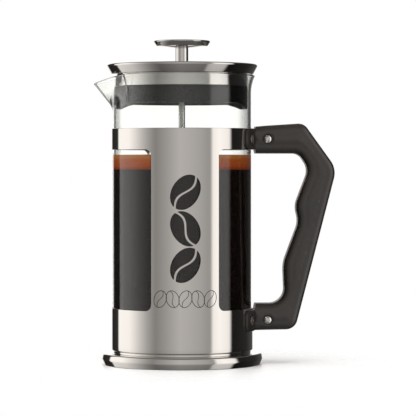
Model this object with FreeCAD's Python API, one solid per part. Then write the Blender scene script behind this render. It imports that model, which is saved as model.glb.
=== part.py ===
import FreeCAD, Part
import math
import os

# French press: a glass beaker stands in a mirror-steel sleeve with two side windows, and the lid carries a
# filter plunger. Millimetres, +Z up. The origin is on the beaker's axis at the foot's underside, the handle
# points along +X, the spout along -X and the decorated strip of the sleeve faces -Y.

# Beaker
glass_r = 49.3
glass_wall = 2.0
glass_floor = 2.5
glass_height = 193.0
glass_corner_r = 9.0
flare_height = 13.0
flare_out = 3.1
spout_reach = 13.8
spout_height = 23.0
spout_nose_r = 4.0
spout_half_angle = 36.0
spout_drop = 5.6
spout_dip_length = 24.0
spout_dip_share = 0.36
spout_side_sink = 0.3
over_rim = 3.0

# Foot, pad and cushion under the beaker
foot_overhang = 7.0
foot_edge_in = 1.4
foot_height = 8.2
foot_sheet = 1.2
foot_round = 1.6
foot_belly_r = 3.0
foot_top_in = 0.84
foot_slope_wall = 1.44
neck_inset = 1.4
neck_height = 1.5
pad_thickness = 2.4
cushion_thickness = 1.5
cushion_hole_r = 22.0

# Sleeve
sleeve_wall = 0.8
sleeve_below_spout = 15.0
sleeve_flange = 9.0
sleeve_edge_round = 1.4
lower_band = 30.3
top_band = 15.0
strip_half_angle = 27.8
window_corner_r = 4.5
shoe_below_window = 1.2

# Bean cut-outs on the front strip
bean_count = 3
bean_length = 26.0
bean_width = 19.0
bean_pitch = 25.2
bean_tilt = 32.0
bean_rise = 1.2
bean_bridge = 1.6
bean_bend = 2.6
bean_bridge_over = 1.0

# Handle, as distances out from the shoes and heights above the lower block's underside
handle_thickness = 22.0
handle_edge_r = 6.0
handle_block = 19.2
handle_top_corner = 34.2
handle_top_rise = 2.4
handle_elbow = 57.6
handle_elbow_drop = 30.0
handle_foot_corner = 28.0
handle_foot_rise = 0.5
handle_corner_radii = (8.0, 15.0, 8.5)
arc_share = 0.48
finger_top_out = 30.7
finger_top_r = 8.0
finger_foot_out = 20.7
finger_foot_r = 10.4
# Finger waves from the top: distance out, then height and radius as shares of the opening's height
finger_waves = (
    (37.9, 0.8961, 0.1035),
    (28.0, 0.6525, 0.1505),
    (30.6, 0.5436, 0.1505),
    (19.6, 0.2659, 0.2352),
)
upper_block_drop = 0.6
lower_block_rise = 2.1

# Shoes, brackets and fasteners
shoe_thickness = 1.9
shoe_height = 14.8
shoe_half_angle = 31.0
shoe_corner_r = 5.0
shoe_screw_angle = 22.0
shoe_recess_r = 4.75
shoe_recess_depth = 0.5
bracket_plate = 0.8
bracket_half_angle = 27.0
bracket_height = 11.0
tongue_thickness = 3.0
tongue_height = 10.0
tongue_length = 15.0
screw_out = 8.2
cross_screw_r = 2.0
cross_head_r = 3.5
cross_head_height = 2.0
cross_recess_r = 4.5
cross_recess_depth = 2.6
barrel_nut_r = 3.0
barrel_nut_length = 7.5
shoe_screw_r = 1.2
shoe_head_r = 3.2
shoe_head_height = 0.6
slot_width = 0.9
screw_past_middle = 4.5
nut_bore_length = 5.5

# Lid
cap_sheet = 0.8
cap_rim_in = 1.4
cap_rim_out = 4.5
cap_skirt_height = 5.8
cap_edge_round = 1.2
cap_edge_height = 1.5
cap_dish_r = 43.5
cap_dish_depth = 3.8
cap_dish_slope = 5.0
cap_dish_round = 3.0
cap_crown_drop = 0.6
cap_edge_in = 0.4
band_wall = 0.6
band_flange = 7.0
band_drop = 1.2
band_lip_in = 3.0
insert_drop = 8.6
insert_height = 12.1
insert_wall = 2.0
insert_web = 1.6
insert_hub_r = 9.0
insert_hub_below = 4.2
lobe_depth = 3.7
lobe_half_angle = 15.0
lobe_slope_angle = 38.0
strainer_slot_width = 1.0
strainer_slot_height = 5.5
strainer_slot_pitch = 3.5
strainer_half_angle = 38.5
bush_r = 5.5
bush_flange_r = 8.5
bush_flange = 1.2
bush_nut_across = 15.0
bush_nut_height = 3.0
bush_past_nut = 1.0

# Plunger
rod_r = 2.3
filter_lift = 9.0
boss_r = 4.5
boss_height = 6.0
boss_floor = 0.5
boss_flange_r = 7.0
boss_flange = 0.8
cross_plate_in = 3.0
cross_plate_sheet = 0.8
cross_hole_count = 6
cross_hole_r = 8.5
cross_hole_circle = 0.6
mesh_sheet = 0.3
mesh_rim = 4.6
spring_wire_r = 2.25
top_plate_sheet = 0.8
top_hole_rings = ((0.3, 8), (0.53, 14), (0.76, 20))
top_hole_r = 2.4
top_hole_offset = 4.0
mesh_corner_r = 1.2
collar_r = 4.5
collar_height = 4.2
collar_round = 1.2
stem_r = 4.55
stem_length = 13.9
knob_r = 20.3
knob_under_r = 18.2
knob_rim_height = 3.9
knob_dome = 1.3
knob_top_dish = 0.7
knob_round = 0.8
knob_neck_round = 6.0
knob_neck_out = 2.0
knob_lip = 0.6
knob_lip_land = 3.0
knob_lip_round = 1.5
thread_depth = 2.4

# Small edge rounds
edge_break = 0.3
fine_round = 0.4
bead_round = 0.5
hub_round = 0.8

# Clearances
glass_gap = 0.3
filter_gap = 0.3
insert_gap = 0.6
lid_gap = 0.4
running_gap = 0.05
turn_gap = 0.1
seat_gap = 0.1
press_gap = 0.02
end_gap = 0.5
nut_end_gap = 1.0
slot_top_gap = 0.2

# Worked-out places
sleeve_in_r = glass_r + glass_gap
sleeve_r = sleeve_in_r + sleeve_wall
shoe_r = sleeve_r + shoe_thickness
neck_r = sleeve_r - neck_inset
foot_r = sleeve_r + foot_overhang
floor_z = foot_height + neck_height
glass_z = floor_z + sleeve_wall + cushion_thickness
glass_top = glass_z + glass_height
sleeve_top = glass_top - spout_height - sleeve_below_spout
glass_in_r = glass_r - glass_wall
window_low = floor_z + lower_band
window_high = sleeve_top - top_band
bean_middle_z = 0.5 * (window_low + window_high) + bean_rise
bean_lowest_z = bean_middle_z - 0.5 * (bean_count - 1) * bean_pitch
upper_shoe_z = sleeve_top - shoe_height
lower_shoe_z = window_low - shoe_below_window - shoe_height
upper_mount_z = upper_shoe_z + 0.5 * shoe_height
lower_mount_z = lower_shoe_z + 0.5 * shoe_height
block_high_z = upper_mount_z - 0.5 * handle_block - upper_block_drop
block_low_z = lower_mount_z - 0.5 * handle_block + lower_block_rise
cap_z = glass_top + lid_gap
cap_top = cap_z + cap_skirt_height + cap_edge_height
dish_z = cap_top - cap_dish_depth
insert_r = glass_in_r - insert_gap
insert_top = glass_top - insert_drop + lid_gap
insert_low = insert_top - insert_height
hub_low = insert_top - insert_web - insert_hub_below
filter_r = glass_in_r - filter_gap
filter_z = glass_z + glass_floor + filter_lift
boss_z = filter_z - boss_height
knob_seat_z = dish_z + turn_gap + bush_flange + seat_gap
knob_z = knob_seat_z + stem_length

X_AXIS = FreeCAD.Vector(1, 0, 0)
Y_AXIS = FreeCAD.Vector(0, 1, 0)
Z_AXIS = FreeCAD.Vector(0, 0, 1)
ORIGIN = FreeCAD.Vector(0, 0, 0)
FAR = 300.0


def in_xz(a, b):
    """A point of the vertical plane through the handle and the spout."""
    return FreeCAD.Vector(a, 0, b)


def in_xy(a, b):
    """A point of the foot's plane."""
    return FreeCAD.Vector(a, b, 0)


def rounded_edges(corners, place, closed=True):
    """Straight runs between corners, each (a, b) or (a, b, radius); a radius puts a tangent arc there."""
    ends = []
    count = len(corners)
    for index, corner in enumerate(corners):
        here = place(corner[0], corner[1])
        radius = corner[2] if len(corner) > 2 else 0
        if radius == 0:
            ends.append((here, None, here))
            continue
        before = corners[index - 1]
        after = corners[(index + 1) % count]
        back = place(before[0], before[1]).sub(here).normalize()
        ahead = place(after[0], after[1]).sub(here).normalize()
        half = 0.5 * back.getAngle(ahead)
        inward = back.add(ahead).normalize()
        run = radius / math.tan(half)
        middle = here + inward * (radius / math.sin(half) - radius)
        ends.append((here + back * run, middle, here + ahead * run))
    edges = []
    for index, (start, middle, stop) in enumerate(ends):
        if middle is not None:
            edges.append(Part.Arc(start, middle, stop).toShape())
        following = ends[(index + 1) % count][0]
        last = index == count - 1
        if stop.distanceToPoint(following) > 1e-6 and (closed or not last):
            edges.append(Part.LineSegment(stop, following).toShape())
    return edges


def rounded_face(corners, place):
    """Flat face inside a closed outline with rounded corners."""
    return Part.Face(Part.Wire(rounded_edges(corners, place)))


def lathe(corners):
    """Solid of revolution about Z of a closed (radius, height) outline."""
    return rounded_face(corners, in_xz).revolve(ORIGIN, Z_AXIS, 360)


def disc(radius, low, high, hole_r=0):
    """Flat round plate about Z, with a round hole when hole_r is above 0."""
    plate = Part.makeCylinder(radius, high - low, FreeCAD.Vector(0, 0, low))
    if hole_r > 0:
        plate = plate.cut(Part.makeCylinder(hole_r, high - low, FreeCAD.Vector(0, 0, low)))
    return plate


def shell_arc(inner_r, outer_r, low, high, half_angle):
    """Piece of a tube about Z that spans half_angle either side of +X."""
    solid = Part.makeCylinder(outer_r, high - low, FreeCAD.Vector(0, 0, low), Z_AXIS, 2 * half_angle)
    solid = solid.cut(Part.makeCylinder(inner_r, high - low, FreeCAD.Vector(0, 0, low)))
    return solid.rotate(ORIGIN, Z_AXIS, -half_angle)


def rounded_patch(inner_r, outer_r, low, high, half_angle, corner_r):
    """Curved plate about +X, like shell_arc, with corners that look round from straight outside."""
    patch = shell_arc(inner_r, outer_r, low, high, half_angle)
    reach = 1.5 * outer_r
    inset = math.degrees(math.asin(2 * corner_r / (inner_r + outer_r)))
    for side in (-1, 1):
        for centre_z, up in ((low + corner_r, -1), (high - corner_r, 1)):
            square = block((0, min(0, 2 * side * corner_r), min(0, 2 * up * corner_r)),
                           (reach, max(0, 2 * side * corner_r), max(0, 2 * up * corner_r)))
            corner = square.cut(Part.makeCylinder(corner_r, reach, ORIGIN, X_AXIS))
            corner.translate(FreeCAD.Vector(0, 0, centre_z))
            patch = patch.cut(turned(corner, side * (half_angle - inset)))
    return patch


def radial_pin(radius, inner_r, outer_r, height, angle):
    """Round pin that points out from the axis at a height and an angle from +X."""
    pin = Part.makeCylinder(radius, outer_r - inner_r, FreeCAD.Vector(inner_r, 0, height), X_AXIS)
    return pin.rotate(ORIGIN, Z_AXIS, angle)


def block(low, high):
    """Box between two corners."""
    return Part.makeBox(high[0] - low[0], high[1] - low[1], high[2] - low[2], FreeCAD.Vector(*low))


def turned(shape, angle):
    """Copy of a shape turned about Z."""
    copy = shape.copy()
    return copy.rotate(ORIGIN, Z_AXIS, angle)


def mount_heights():
    """Heights of the upper and the lower handle fastening."""
    return upper_mount_z, lower_mount_z


# Foot
def make_foot():
    """Spun steel foot: a convex skirt, a flat step and a raised floor for the sleeve."""
    edge_r = foot_r - foot_edge_in
    inner = foot_sheet
    widest = 0.5 * foot_height
    top_r = foot_r - foot_top_in
    corners = [
        (edge_r - inner, 0),
        (edge_r, 0, edge_break),
        (foot_r, widest, foot_belly_r),
        (top_r, foot_height, foot_round),
        (neck_r, foot_height, fine_round),
        (neck_r, floor_z),
        (0, floor_z),
        (0, floor_z - inner),
        (neck_r - inner, floor_z - inner),
        (neck_r - inner, foot_height - inner),
        (top_r - foot_slope_wall, foot_height - inner),
        (foot_r - foot_slope_wall, widest),
    ]
    return lathe(corners)


def make_pad():
    """Non-slip pad that closes the foot and gives it its flat underside."""
    pad_r = foot_r - foot_edge_in - foot_sheet - press_gap
    return disc(pad_r, 0, pad_thickness)


def make_cushion():
    """Silicone ring between the sleeve's inner flange and the beaker."""
    outer_r = glass_r - 0.5 * glass_corner_r
    low = floor_z + sleeve_wall
    return disc(outer_r, low, low + cushion_thickness, cushion_hole_r)


# Sleeve
def bean_cutter(centre_z, tilt):
    """Bean-shaped cutter along Y: an ellipse split by an S-shaped bridge that stays in the sheet."""
    half = 0.5 * bean_length
    side = 0.5 * bean_bridge
    over = half + bean_bridge_over
    oval = Part.Ellipse(in_xz(0, half), in_xz(0.5 * bean_width, 0), ORIGIN)
    lobe = Part.Face(Part.Wire(oval.toShape()))
    edges = []
    for shift, heights in ((-side, (over, 0.5 * over, 0, -0.5 * over, -over)),
                           (side, (-over, -0.5 * over, 0, 0.5 * over, over))):
        for step in range(0, len(heights) - 2, 2):
            bend = bean_bend if heights[step + 1] > 0 else -bean_bend
            start = in_xz(shift, heights[step])
            middle = in_xz(shift + bend, heights[step + 1])
            stop = in_xz(shift, heights[step + 2])
            edges.append(Part.Arc(start, middle, stop).toShape())
        edges.append(Part.LineSegment(in_xz(shift, heights[4]), in_xz(-shift, heights[4])).toShape())
    bridge = Part.Face(Part.Wire(edges))
    cutter = lobe.cut(bridge).extrude(Y_AXIS * (0.5 * sleeve_r))
    cutter.rotate(ORIGIN, Y_AXIS, tilt)
    cutter.translate(FreeCAD.Vector(0, -1.1 * sleeve_r, centre_z))
    return cutter


def make_sleeve():
    """Rolled steel sleeve with an in-turned floor flange, two side windows and bean cut-outs."""
    flange_r = sleeve_in_r - sleeve_flange
    sleeve = lathe([
        (flange_r, floor_z),
        (sleeve_r, floor_z, sleeve_edge_round),
        (sleeve_r, sleeve_top, edge_break),
        (sleeve_in_r, sleeve_top, edge_break),
        (sleeve_in_r, floor_z + sleeve_wall, sleeve_edge_round - sleeve_wall),
        (flange_r, floor_z + sleeve_wall),
    ])
    half_window = 90.0 - strip_half_angle
    window = rounded_patch(0.99 * sleeve_in_r, 1.01 * sleeve_r, window_low, window_high, half_window,
                           window_corner_r)
    for angle in (0, 180):
        sleeve = sleeve.cut(turned(window, angle))
    for index in range(bean_count):
        tilt = bean_tilt if index % 2 == 0 else -bean_tilt
        sleeve = sleeve.cut(bean_cutter(bean_lowest_z + index * bean_pitch, tilt))
    for height in mount_heights():
        for angle in (-shoe_screw_angle, shoe_screw_angle):
            hole = radial_pin(shoe_screw_r + running_gap, 0.9 * sleeve_r, 1.1 * sleeve_r, height, angle)
            sleeve = sleeve.cut(hole)
    return sleeve


# Handle fastening
def make_bracket(height):
    """Curved steel plate on the sleeve with a flat tongue that enters the handle."""
    inner_r = sleeve_r + press_gap
    half = 0.5 * bracket_height
    plate = shell_arc(inner_r, inner_r + bracket_plate, height - half, height + half, bracket_half_angle)
    tongue = block((inner_r + 0.4 * bracket_plate, -0.5 * tongue_thickness, height - 0.5 * tongue_height),
                   (shoe_r + tongue_length, 0.5 * tongue_thickness, height + 0.5 * tongue_height))
    bracket = plate.fuse(tongue).removeSplitter()
    for angle in (-shoe_screw_angle, shoe_screw_angle):
        bracket = bracket.cut(radial_pin(shoe_screw_r + running_gap, 0.9 * sleeve_r, 1.2 * sleeve_r,
                                         height, angle))
    bore = Part.makeCylinder(cross_screw_r + turn_gap, 2 * tongue_thickness,
                             FreeCAD.Vector(shoe_r + screw_out, -tongue_thickness, height), Y_AXIS)
    return bracket.cut(bore)


def make_shoe(height):
    """Plastic shoe that hugs the sleeve over the bracket, with two recessed screw seats."""
    low = height - 0.5 * shoe_height
    inner_r = sleeve_r + press_gap
    shoe = rounded_patch(inner_r, shoe_r, low, low + shoe_height, shoe_half_angle, shoe_corner_r)
    half = 0.5 * bracket_height + seat_gap
    pocket_r = inner_r + bracket_plate + running_gap
    shoe = shoe.cut(shell_arc(0.9 * sleeve_r, pocket_r, height - half, height + half,
                              bracket_half_angle + end_gap))
    slot_y = 0.5 * tongue_thickness + seat_gap
    slot_z = 0.5 * tongue_height + seat_gap
    shoe = shoe.cut(block((0.9 * sleeve_r, -slot_y, height - slot_z),
                          (1.2 * sleeve_r, slot_y, height + slot_z)))
    for angle in (-shoe_screw_angle, shoe_screw_angle):
        shoe = shoe.cut(radial_pin(shoe_recess_r, shoe_r - shoe_recess_depth, 1.2 * sleeve_r, height, angle))
        shoe = shoe.cut(radial_pin(shoe_screw_r + running_gap, 0.9 * sleeve_r, 1.2 * sleeve_r, height, angle))
    return shoe


def make_shoe_screws():
    """Four radial screws that hold the shoes and brackets on the sleeve."""
    screws = []
    seat_r = shoe_r - shoe_recess_depth + press_gap
    for height in mount_heights():
        for angle in (-shoe_screw_angle, shoe_screw_angle):
            shank = radial_pin(shoe_screw_r, sleeve_in_r + seat_gap, seat_r + seat_gap, height, 0)
            head = radial_pin(shoe_head_r, seat_r, seat_r + shoe_head_height, height, 0)
            screw = shank.fuse(head).removeSplitter()
            slot = block((seat_r + 0.5 * shoe_head_height, -0.5 * slot_width, height - shoe_recess_r),
                         (seat_r + 2 * shoe_head_height, 0.5 * slot_width, height + shoe_recess_r))
            screws.append(turned(screw.cut(slot), angle))
    return Part.makeCompound(screws)


# Handle
def fitted(corners):
    """Corners whose radii are cut down where an arc would take more than its share of a side."""
    result = []
    count = len(corners)
    for index, corner in enumerate(corners):
        if len(corner) < 3:
            result.append(corner)
            continue
        here = in_xz(corner[0], corner[1])
        back = in_xz(*corners[index - 1][:2]).sub(here)
        ahead = in_xz(*corners[(index + 1) % count][:2]).sub(here)
        room = arc_share * min(back.Length, ahead.Length)
        half = 0.5 * back.getAngle(ahead)
        result.append((corner[0], corner[1], min(corner[2], room * math.tan(half))))
    return result


def handle_wire():
    """Side outline: straight blocks and outer edge, rounded corners and a finger-wave inner edge."""
    root = sleeve_r
    opening_low = block_low_z + handle_block
    opening = block_high_z - opening_low
    top_z = block_high_z + handle_block
    outer = [
        (root, block_low_z),
        (shoe_r + handle_foot_corner, block_low_z + handle_foot_rise, handle_corner_radii[2]),
        (shoe_r + handle_elbow, top_z - handle_elbow_drop, handle_corner_radii[1]),
        (shoe_r + handle_top_corner, top_z + handle_top_rise, handle_corner_radii[0]),
        (root, top_z),
    ]
    inner = [(root, block_high_z), (shoe_r + finger_top_out, block_high_z, finger_top_r)]
    for out, height, radius in finger_waves:
        inner.append((shoe_r + out, opening_low + height * opening, radius * opening))
    inner.append((shoe_r + finger_foot_out, opening_low, finger_foot_r))
    inner.append((root, opening_low))
    return Part.Wire(rounded_edges(fitted(outer + inner), in_xz))


def make_handle():
    """Moulded handle with rounded edges, hollow-cylinder ends, tongue slots and screw recesses."""
    half = 0.5 * handle_thickness
    body = Part.Face(handle_wire()).extrude(Y_AXIS * handle_thickness)
    body.translate(Y_AXIS * -half)
    rims = []
    for edge in body.Edges:
        middle = edge.valueAt(0.5 * (edge.FirstParameter + edge.LastParameter))
        if abs(abs(middle.y) - half) < 0.001 and middle.x > sleeve_r + 0.001:
            rims.append(edge)
    handle = body.makeFillet(handle_edge_r, rims)
    seat_r = shoe_r + seat_gap
    handle = handle.cut(Part.makeCylinder(seat_r, FAR, ORIGIN))
    slot_y = 0.5 * tongue_thickness + seat_gap
    slot_z = 0.5 * tongue_height + seat_gap
    for height in mount_heights():
        handle = handle.cut(block((sleeve_r, -slot_y, height - slot_z),
                                  (shoe_r + tongue_length + end_gap, slot_y, height + slot_z)))
        centre_x = shoe_r + screw_out
        handle = handle.cut(Part.makeCylinder(cross_screw_r + turn_gap, handle_thickness,
                                              FreeCAD.Vector(centre_x, -half, height), Y_AXIS))
        handle = handle.cut(Part.makeCylinder(barrel_nut_r + running_gap, half,
                                              FreeCAD.Vector(centre_x, slot_y + end_gap, height), Y_AXIS))
        for side in (-half, half - cross_recess_depth):
            handle = handle.cut(Part.makeCylinder(cross_recess_r, cross_recess_depth,
                                                  FreeCAD.Vector(centre_x, side, height), Y_AXIS))
    return handle


def cross_fastener(height, length, shank_r, side):
    """Round head in the handle's recess with a shank towards the middle; side is -1 at the front."""
    half = 0.5 * handle_thickness
    centre_x = shoe_r + screw_out
    seat = half - cross_recess_depth - press_gap
    direction = Y_AXIS * -side
    head_start = FreeCAD.Vector(centre_x, side * (seat + cross_head_height + 2 * press_gap), height)
    head = Part.makeCylinder(cross_head_r, cross_head_height, head_start, direction)
    shank_start = FreeCAD.Vector(centre_x, side * (seat + seat_gap), height)
    shank = Part.makeCylinder(shank_r, length, shank_start, direction)
    slot_low = side * (seat + 0.5 * cross_head_height)
    slot_high = side * half
    slot = block((centre_x - 0.5 * slot_width, min(slot_low, slot_high), height - cross_recess_r),
                 (centre_x + 0.5 * slot_width, max(slot_low, slot_high), height + cross_recess_r))
    return head.fuse(shank).removeSplitter().cut(slot)


def make_handle_screws():
    """Cross screws that pin the handle to the bracket tongues."""
    length = 0.5 * handle_thickness - cross_recess_depth + screw_past_middle
    screws = []
    for height in mount_heights():
        screws.append(cross_fastener(height, length, cross_screw_r, -1))
    return Part.makeCompound(screws)


def make_handle_nuts():
    """Barrel nuts that take the cross screws from the far side."""
    nuts = []
    for height in mount_heights():
        length = 0.5 * handle_thickness - cross_recess_depth - 0.5 * tongue_thickness - nut_end_gap
        nut = cross_fastener(height, length, barrel_nut_r, 1)
        bore = Part.makeCylinder(cross_screw_r + running_gap, nut_bore_length,
                                 FreeCAD.Vector(shoe_r + screw_out, 0, height), Y_AXIS)
        nuts.append(nut.cut(bore))
    return Part.makeCompound(nuts)


# Beaker
def spout_solid(inset):
    """Spout body between two V-nosed sections; inset shrinks it for the inner surface."""
    low = glass_top - spout_height
    high = glass_top + over_rim
    wires = []
    for height, reach in ((low, 0.0), (high, spout_reach * (high - low) / (spout_height - spout_drop))):
        nose_r = spout_nose_r - 0.5 * inset
        nose_x = -(glass_r - inset + reach - nose_r)
        side_angle = math.radians(spout_half_angle)
        side_r = glass_r - inset - spout_side_sink
        side = in_xy(-side_r * math.cos(side_angle), side_r * math.sin(side_angle))
        away = math.hypot(nose_x - side.x, side.y)
        tilt = math.atan2(side.y, side.x - nose_x) + math.asin(nose_r / away)
        touch = in_xy(nose_x - nose_r * math.sin(tilt), nose_r * math.cos(tilt))
        lift = FreeCAD.Vector(0, 0, height)
        mirrored = [FreeCAD.Vector(point.x, -point.y, 0) + lift for point in (touch, side)]
        nose = FreeCAD.Vector(nose_x - nose_r, 0, height)
        back = FreeCAD.Vector(0, 0, height)
        wires.append(Part.Wire([
            Part.LineSegment(back, side + lift).toShape(),
            Part.LineSegment(side + lift, touch + lift).toShape(),
            Part.Arc(touch + lift, nose, mirrored[0]).toShape(),
            Part.LineSegment(mirrored[0], mirrored[1]).toShape(),
            Part.LineSegment(mirrored[1], back).toShape(),
        ]))
    return Part.makeLoft(wires, True, True)


def beaker_solid(inset, low, high):
    """Filled beaker of revolution; inset is the distance in from the outer surface."""
    side = glass_r - inset
    flare_z = glass_top - flare_height
    corner = glass_corner_r - inset
    bulge = math.hypot(flare_out, flare_height)
    half_turn = math.atan2(flare_out, flare_height)
    flare_radius = 0.5 * bulge / math.sin(half_turn)
    sweep = math.asin(flare_height / flare_radius)
    knee = in_xz(side + flare_radius * (1 - math.cos(0.5 * sweep)),
                 flare_z + flare_radius * math.sin(0.5 * sweep))
    edges = rounded_edges([(0, low), (side, low, corner), (side, flare_z)], in_xz, closed=False)
    edges.append(Part.Arc(in_xz(side, flare_z), knee, in_xz(side + flare_out, glass_top)).toShape())
    rim = in_xz(side + flare_out, glass_top)
    above = in_xz(side + flare_out, high)
    edges.append(Part.LineSegment(rim, above).toShape())
    edges.append(Part.LineSegment(above, in_xz(0, high)).toShape())
    edges.append(Part.LineSegment(in_xz(0, high), in_xz(0, low)).toShape())
    return Part.Face(Part.Wire(edges)).revolve(ORIGIN, Z_AXIS, 360)


def make_beaker():
    """Borosilicate beaker with a flared rim and a V spout whose lip falls towards its tip."""
    over = glass_top + over_rim
    outer = beaker_solid(0, glass_z, over).fuse(spout_solid(0))
    inner = beaker_solid(glass_wall, glass_z + glass_floor, over).fuse(spout_solid(glass_wall))
    beaker = outer.cut(inner)
    tip_x = -(glass_r + spout_reach)
    start_x = tip_x + spout_dip_length
    middle = in_xz(0.5 * (tip_x + start_x), glass_top - spout_dip_share * spout_drop)
    tip = in_xz(tip_x, glass_top - spout_drop)
    beyond = in_xz(-FAR, glass_top - 4 * spout_drop)
    lip = Part.Wire([
        Part.LineSegment(in_xz(FAR, glass_top), in_xz(start_x, glass_top)).toShape(),
        Part.Arc(in_xz(start_x, glass_top), middle, tip).toShape(),
        Part.LineSegment(tip, beyond).toShape(),
        Part.LineSegment(beyond, in_xz(-FAR, FAR)).toShape(),
        Part.LineSegment(in_xz(-FAR, FAR), in_xz(FAR, FAR)).toShape(),
        Part.LineSegment(in_xz(FAR, FAR), in_xz(FAR, glass_top)).toShape(),
    ])
    above = Part.Face(lip).extrude(Y_AXIS * (2 * FAR))
    above.translate(Y_AXIS * -FAR)
    return beaker.cut(above)


# Lid
def make_guide_bush():
    """Flanged bush in the lid's middle that guides the plunger rod."""
    flange_z = dish_z + turn_gap
    bore_r = rod_r + running_gap
    low = hub_low - bush_nut_height - bush_past_nut
    return lathe([
        (bore_r, low),
        (bush_r, low, fine_round),
        (bush_r, flange_z),
        (bush_flange_r, flange_z),
        (bush_flange_r, flange_z + bush_flange, bead_round),
        (bore_r, flange_z + bush_flange),
    ])


def make_bush_nut():
    """Hexagon nut that keeps the bush in the lid."""
    across = 0.5 * bush_nut_across / math.cos(math.radians(30))
    corners = []
    for index in range(6):
        turn = math.radians(60 * index)
        corners.append((across * math.cos(turn), across * math.sin(turn)))
    nut = rounded_face(corners, in_xy).extrude(Z_AXIS * bush_nut_height)
    nut.translate(FreeCAD.Vector(0, 0, hub_low - turn_gap - bush_nut_height))
    return nut.cut(Part.makeCylinder(bush_r + press_gap, FAR, ORIGIN))


def make_cap():
    """Pressed steel lid: a flared skirt with a rounded edge and a shallow dish on top."""
    rim_r = glass_r + cap_rim_in
    wide_r = glass_r + cap_rim_out
    wide_z = cap_z + cap_skirt_height
    flange_r = insert_r + running_gap
    bore_r = bush_r + running_gap
    high_r = cap_dish_r + 0.6 * cap_dish_slope
    low_r = cap_dish_r - 0.4 * cap_dish_slope
    high_z = cap_top - cap_crown_drop
    return lathe([
        (flange_r, cap_z),
        (rim_r, cap_z, bead_round),
        (wide_r, wide_z, cap_edge_round),
        (wide_r - cap_edge_in, cap_top, cap_edge_round),
        (high_r, high_z, cap_dish_round),
        (low_r, dish_z, cap_dish_round),
        (bore_r, dish_z),
        (bore_r, dish_z - cap_sheet),
        (low_r + 0.5 * cap_sheet, dish_z - cap_sheet, cap_dish_round),
        (high_r + 0.25 * cap_sheet, high_z - cap_sheet, cap_dish_round),
        (wide_r - cap_edge_in - cap_sheet, cap_top - 1.4 * cap_sheet),
        (wide_r - cap_sheet, wide_z),
        (rim_r - 0.9 * cap_sheet, cap_z + cap_sheet),
        (flange_r, cap_z + cap_sheet),
    ])


def make_lid_band():
    """Thin steel ring under the lid, turned in at both ends, standing on the insert."""
    high = dish_z - cap_sheet - band_drop
    low = insert_top + press_gap
    flange_r = insert_r - band_flange
    lip_r = cap_dish_r - band_lip_in
    return lathe([
        (flange_r, low),
        (insert_r, low, band_wall),
        (insert_r, high),
        (lip_r, high),
        (lip_r, high - band_wall),
        (insert_r - band_wall, high - band_wall),
        (insert_r - band_wall, low + band_wall),
        (flange_r, low + band_wall),
    ])


def lobe_cutter(angle):
    """Wedges that trim the lower lobe of the insert from its full width to its ring."""
    ring_low = insert_low
    deep = insert_low - lobe_depth
    flat = insert_r * math.sin(math.radians(lobe_half_angle))
    wide = insert_r * math.sin(math.radians(lobe_slope_angle))
    outline = Part.makePolygon([
        FreeCAD.Vector(0, -wide, ring_low),
        FreeCAD.Vector(0, -flat, deep),
        FreeCAD.Vector(0, flat, deep),
        FreeCAD.Vector(0, wide, ring_low),
        FreeCAD.Vector(0, -wide, ring_low),
    ])
    return turned(Part.Face(outline).extrude(X_AXIS * (1.2 * insert_r)), angle)


def make_insert():
    """Plastic insert: a ring with two lower lobes, a web, a hub for the bush and pouring slots."""
    inner_r = insert_r - insert_wall
    web_z = insert_top - insert_web
    hub_high = dish_z - cap_sheet - press_gap
    bore_r = bush_r + running_gap
    insert = lathe([
        (bore_r, hub_low),
        (insert_hub_r, hub_low, hub_round),
        (insert_hub_r, web_z),
        (inner_r, web_z),
        (inner_r, insert_low),
        (insert_r, insert_low, fine_round),
        (insert_r, insert_top, fine_round),
        (insert_hub_r, insert_top),
        (insert_hub_r, hub_high),
        (bore_r, hub_high),
    ])
    ring = disc(insert_r, insert_low - lobe_depth, insert_low + insert_wall, inner_r)
    for angle in (0, 180):
        insert = insert.fuse(ring.common(lobe_cutter(angle)))
    insert = insert.removeSplitter()
    count = int(strainer_half_angle / strainer_slot_pitch)
    slot_high = web_z - slot_top_gap
    slots = []
    for index in range(-count, count + 1):
        slot = block((inner_r - insert_wall, -0.5 * strainer_slot_width, slot_high - strainer_slot_height),
                     (insert_r + insert_wall, 0.5 * strainer_slot_width, slot_high))
        slots.append(turned(slot, 180 + index * strainer_slot_pitch))
    return insert.cut(Part.makeCompound(slots))


# Plunger
def make_rod():
    """Steel rod from the filter's boss to the knob."""
    return disc(rod_r, boss_z + boss_floor, knob_z + thread_depth)


def make_boss():
    """Threaded boss that clamps the filter from below."""
    low = boss_z
    return lathe([
        (0, low),
        (boss_r, low, bead_round),
        (boss_r, filter_z - boss_flange - press_gap),
        (boss_flange_r, filter_z - boss_flange - press_gap),
        (boss_flange_r, filter_z - press_gap),
        (rod_r + press_gap, filter_z - press_gap),
        (rod_r + press_gap, low + boss_floor - press_gap),
        (0, low + boss_floor - press_gap),
    ])


def make_cross_plate():
    """Lower filter plate with large round flow openings between its spokes and an up-turned edge."""
    outer_r = filter_r - cross_plate_in
    plate = disc(outer_r, filter_z, filter_z + cross_plate_sheet, rod_r + press_gap)
    circle_r = cross_hole_circle * outer_r
    for index in range(cross_hole_count):
        hole = Part.makeCylinder(cross_hole_r, FAR, FreeCAD.Vector(circle_r, 0, 0))
        plate = plate.cut(turned(hole, index * 360 / cross_hole_count))
    return plate


def mesh_low():
    """Height of the mesh screen's underside."""
    return filter_z + cross_plate_sheet + press_gap


def make_mesh():
    """Fine mesh screen, a shallow cup whose rim stands between the edge spring and the beaker."""
    low = mesh_low()
    return lathe([
        (rod_r + press_gap, low),
        (filter_r, low, mesh_corner_r),
        (filter_r, low + mesh_rim),
        (filter_r - mesh_sheet, low + mesh_rim),
        (filter_r - mesh_sheet, low + mesh_sheet, mesh_corner_r - mesh_sheet),
        (rod_r + press_gap, low + mesh_sheet),
    ])


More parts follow.
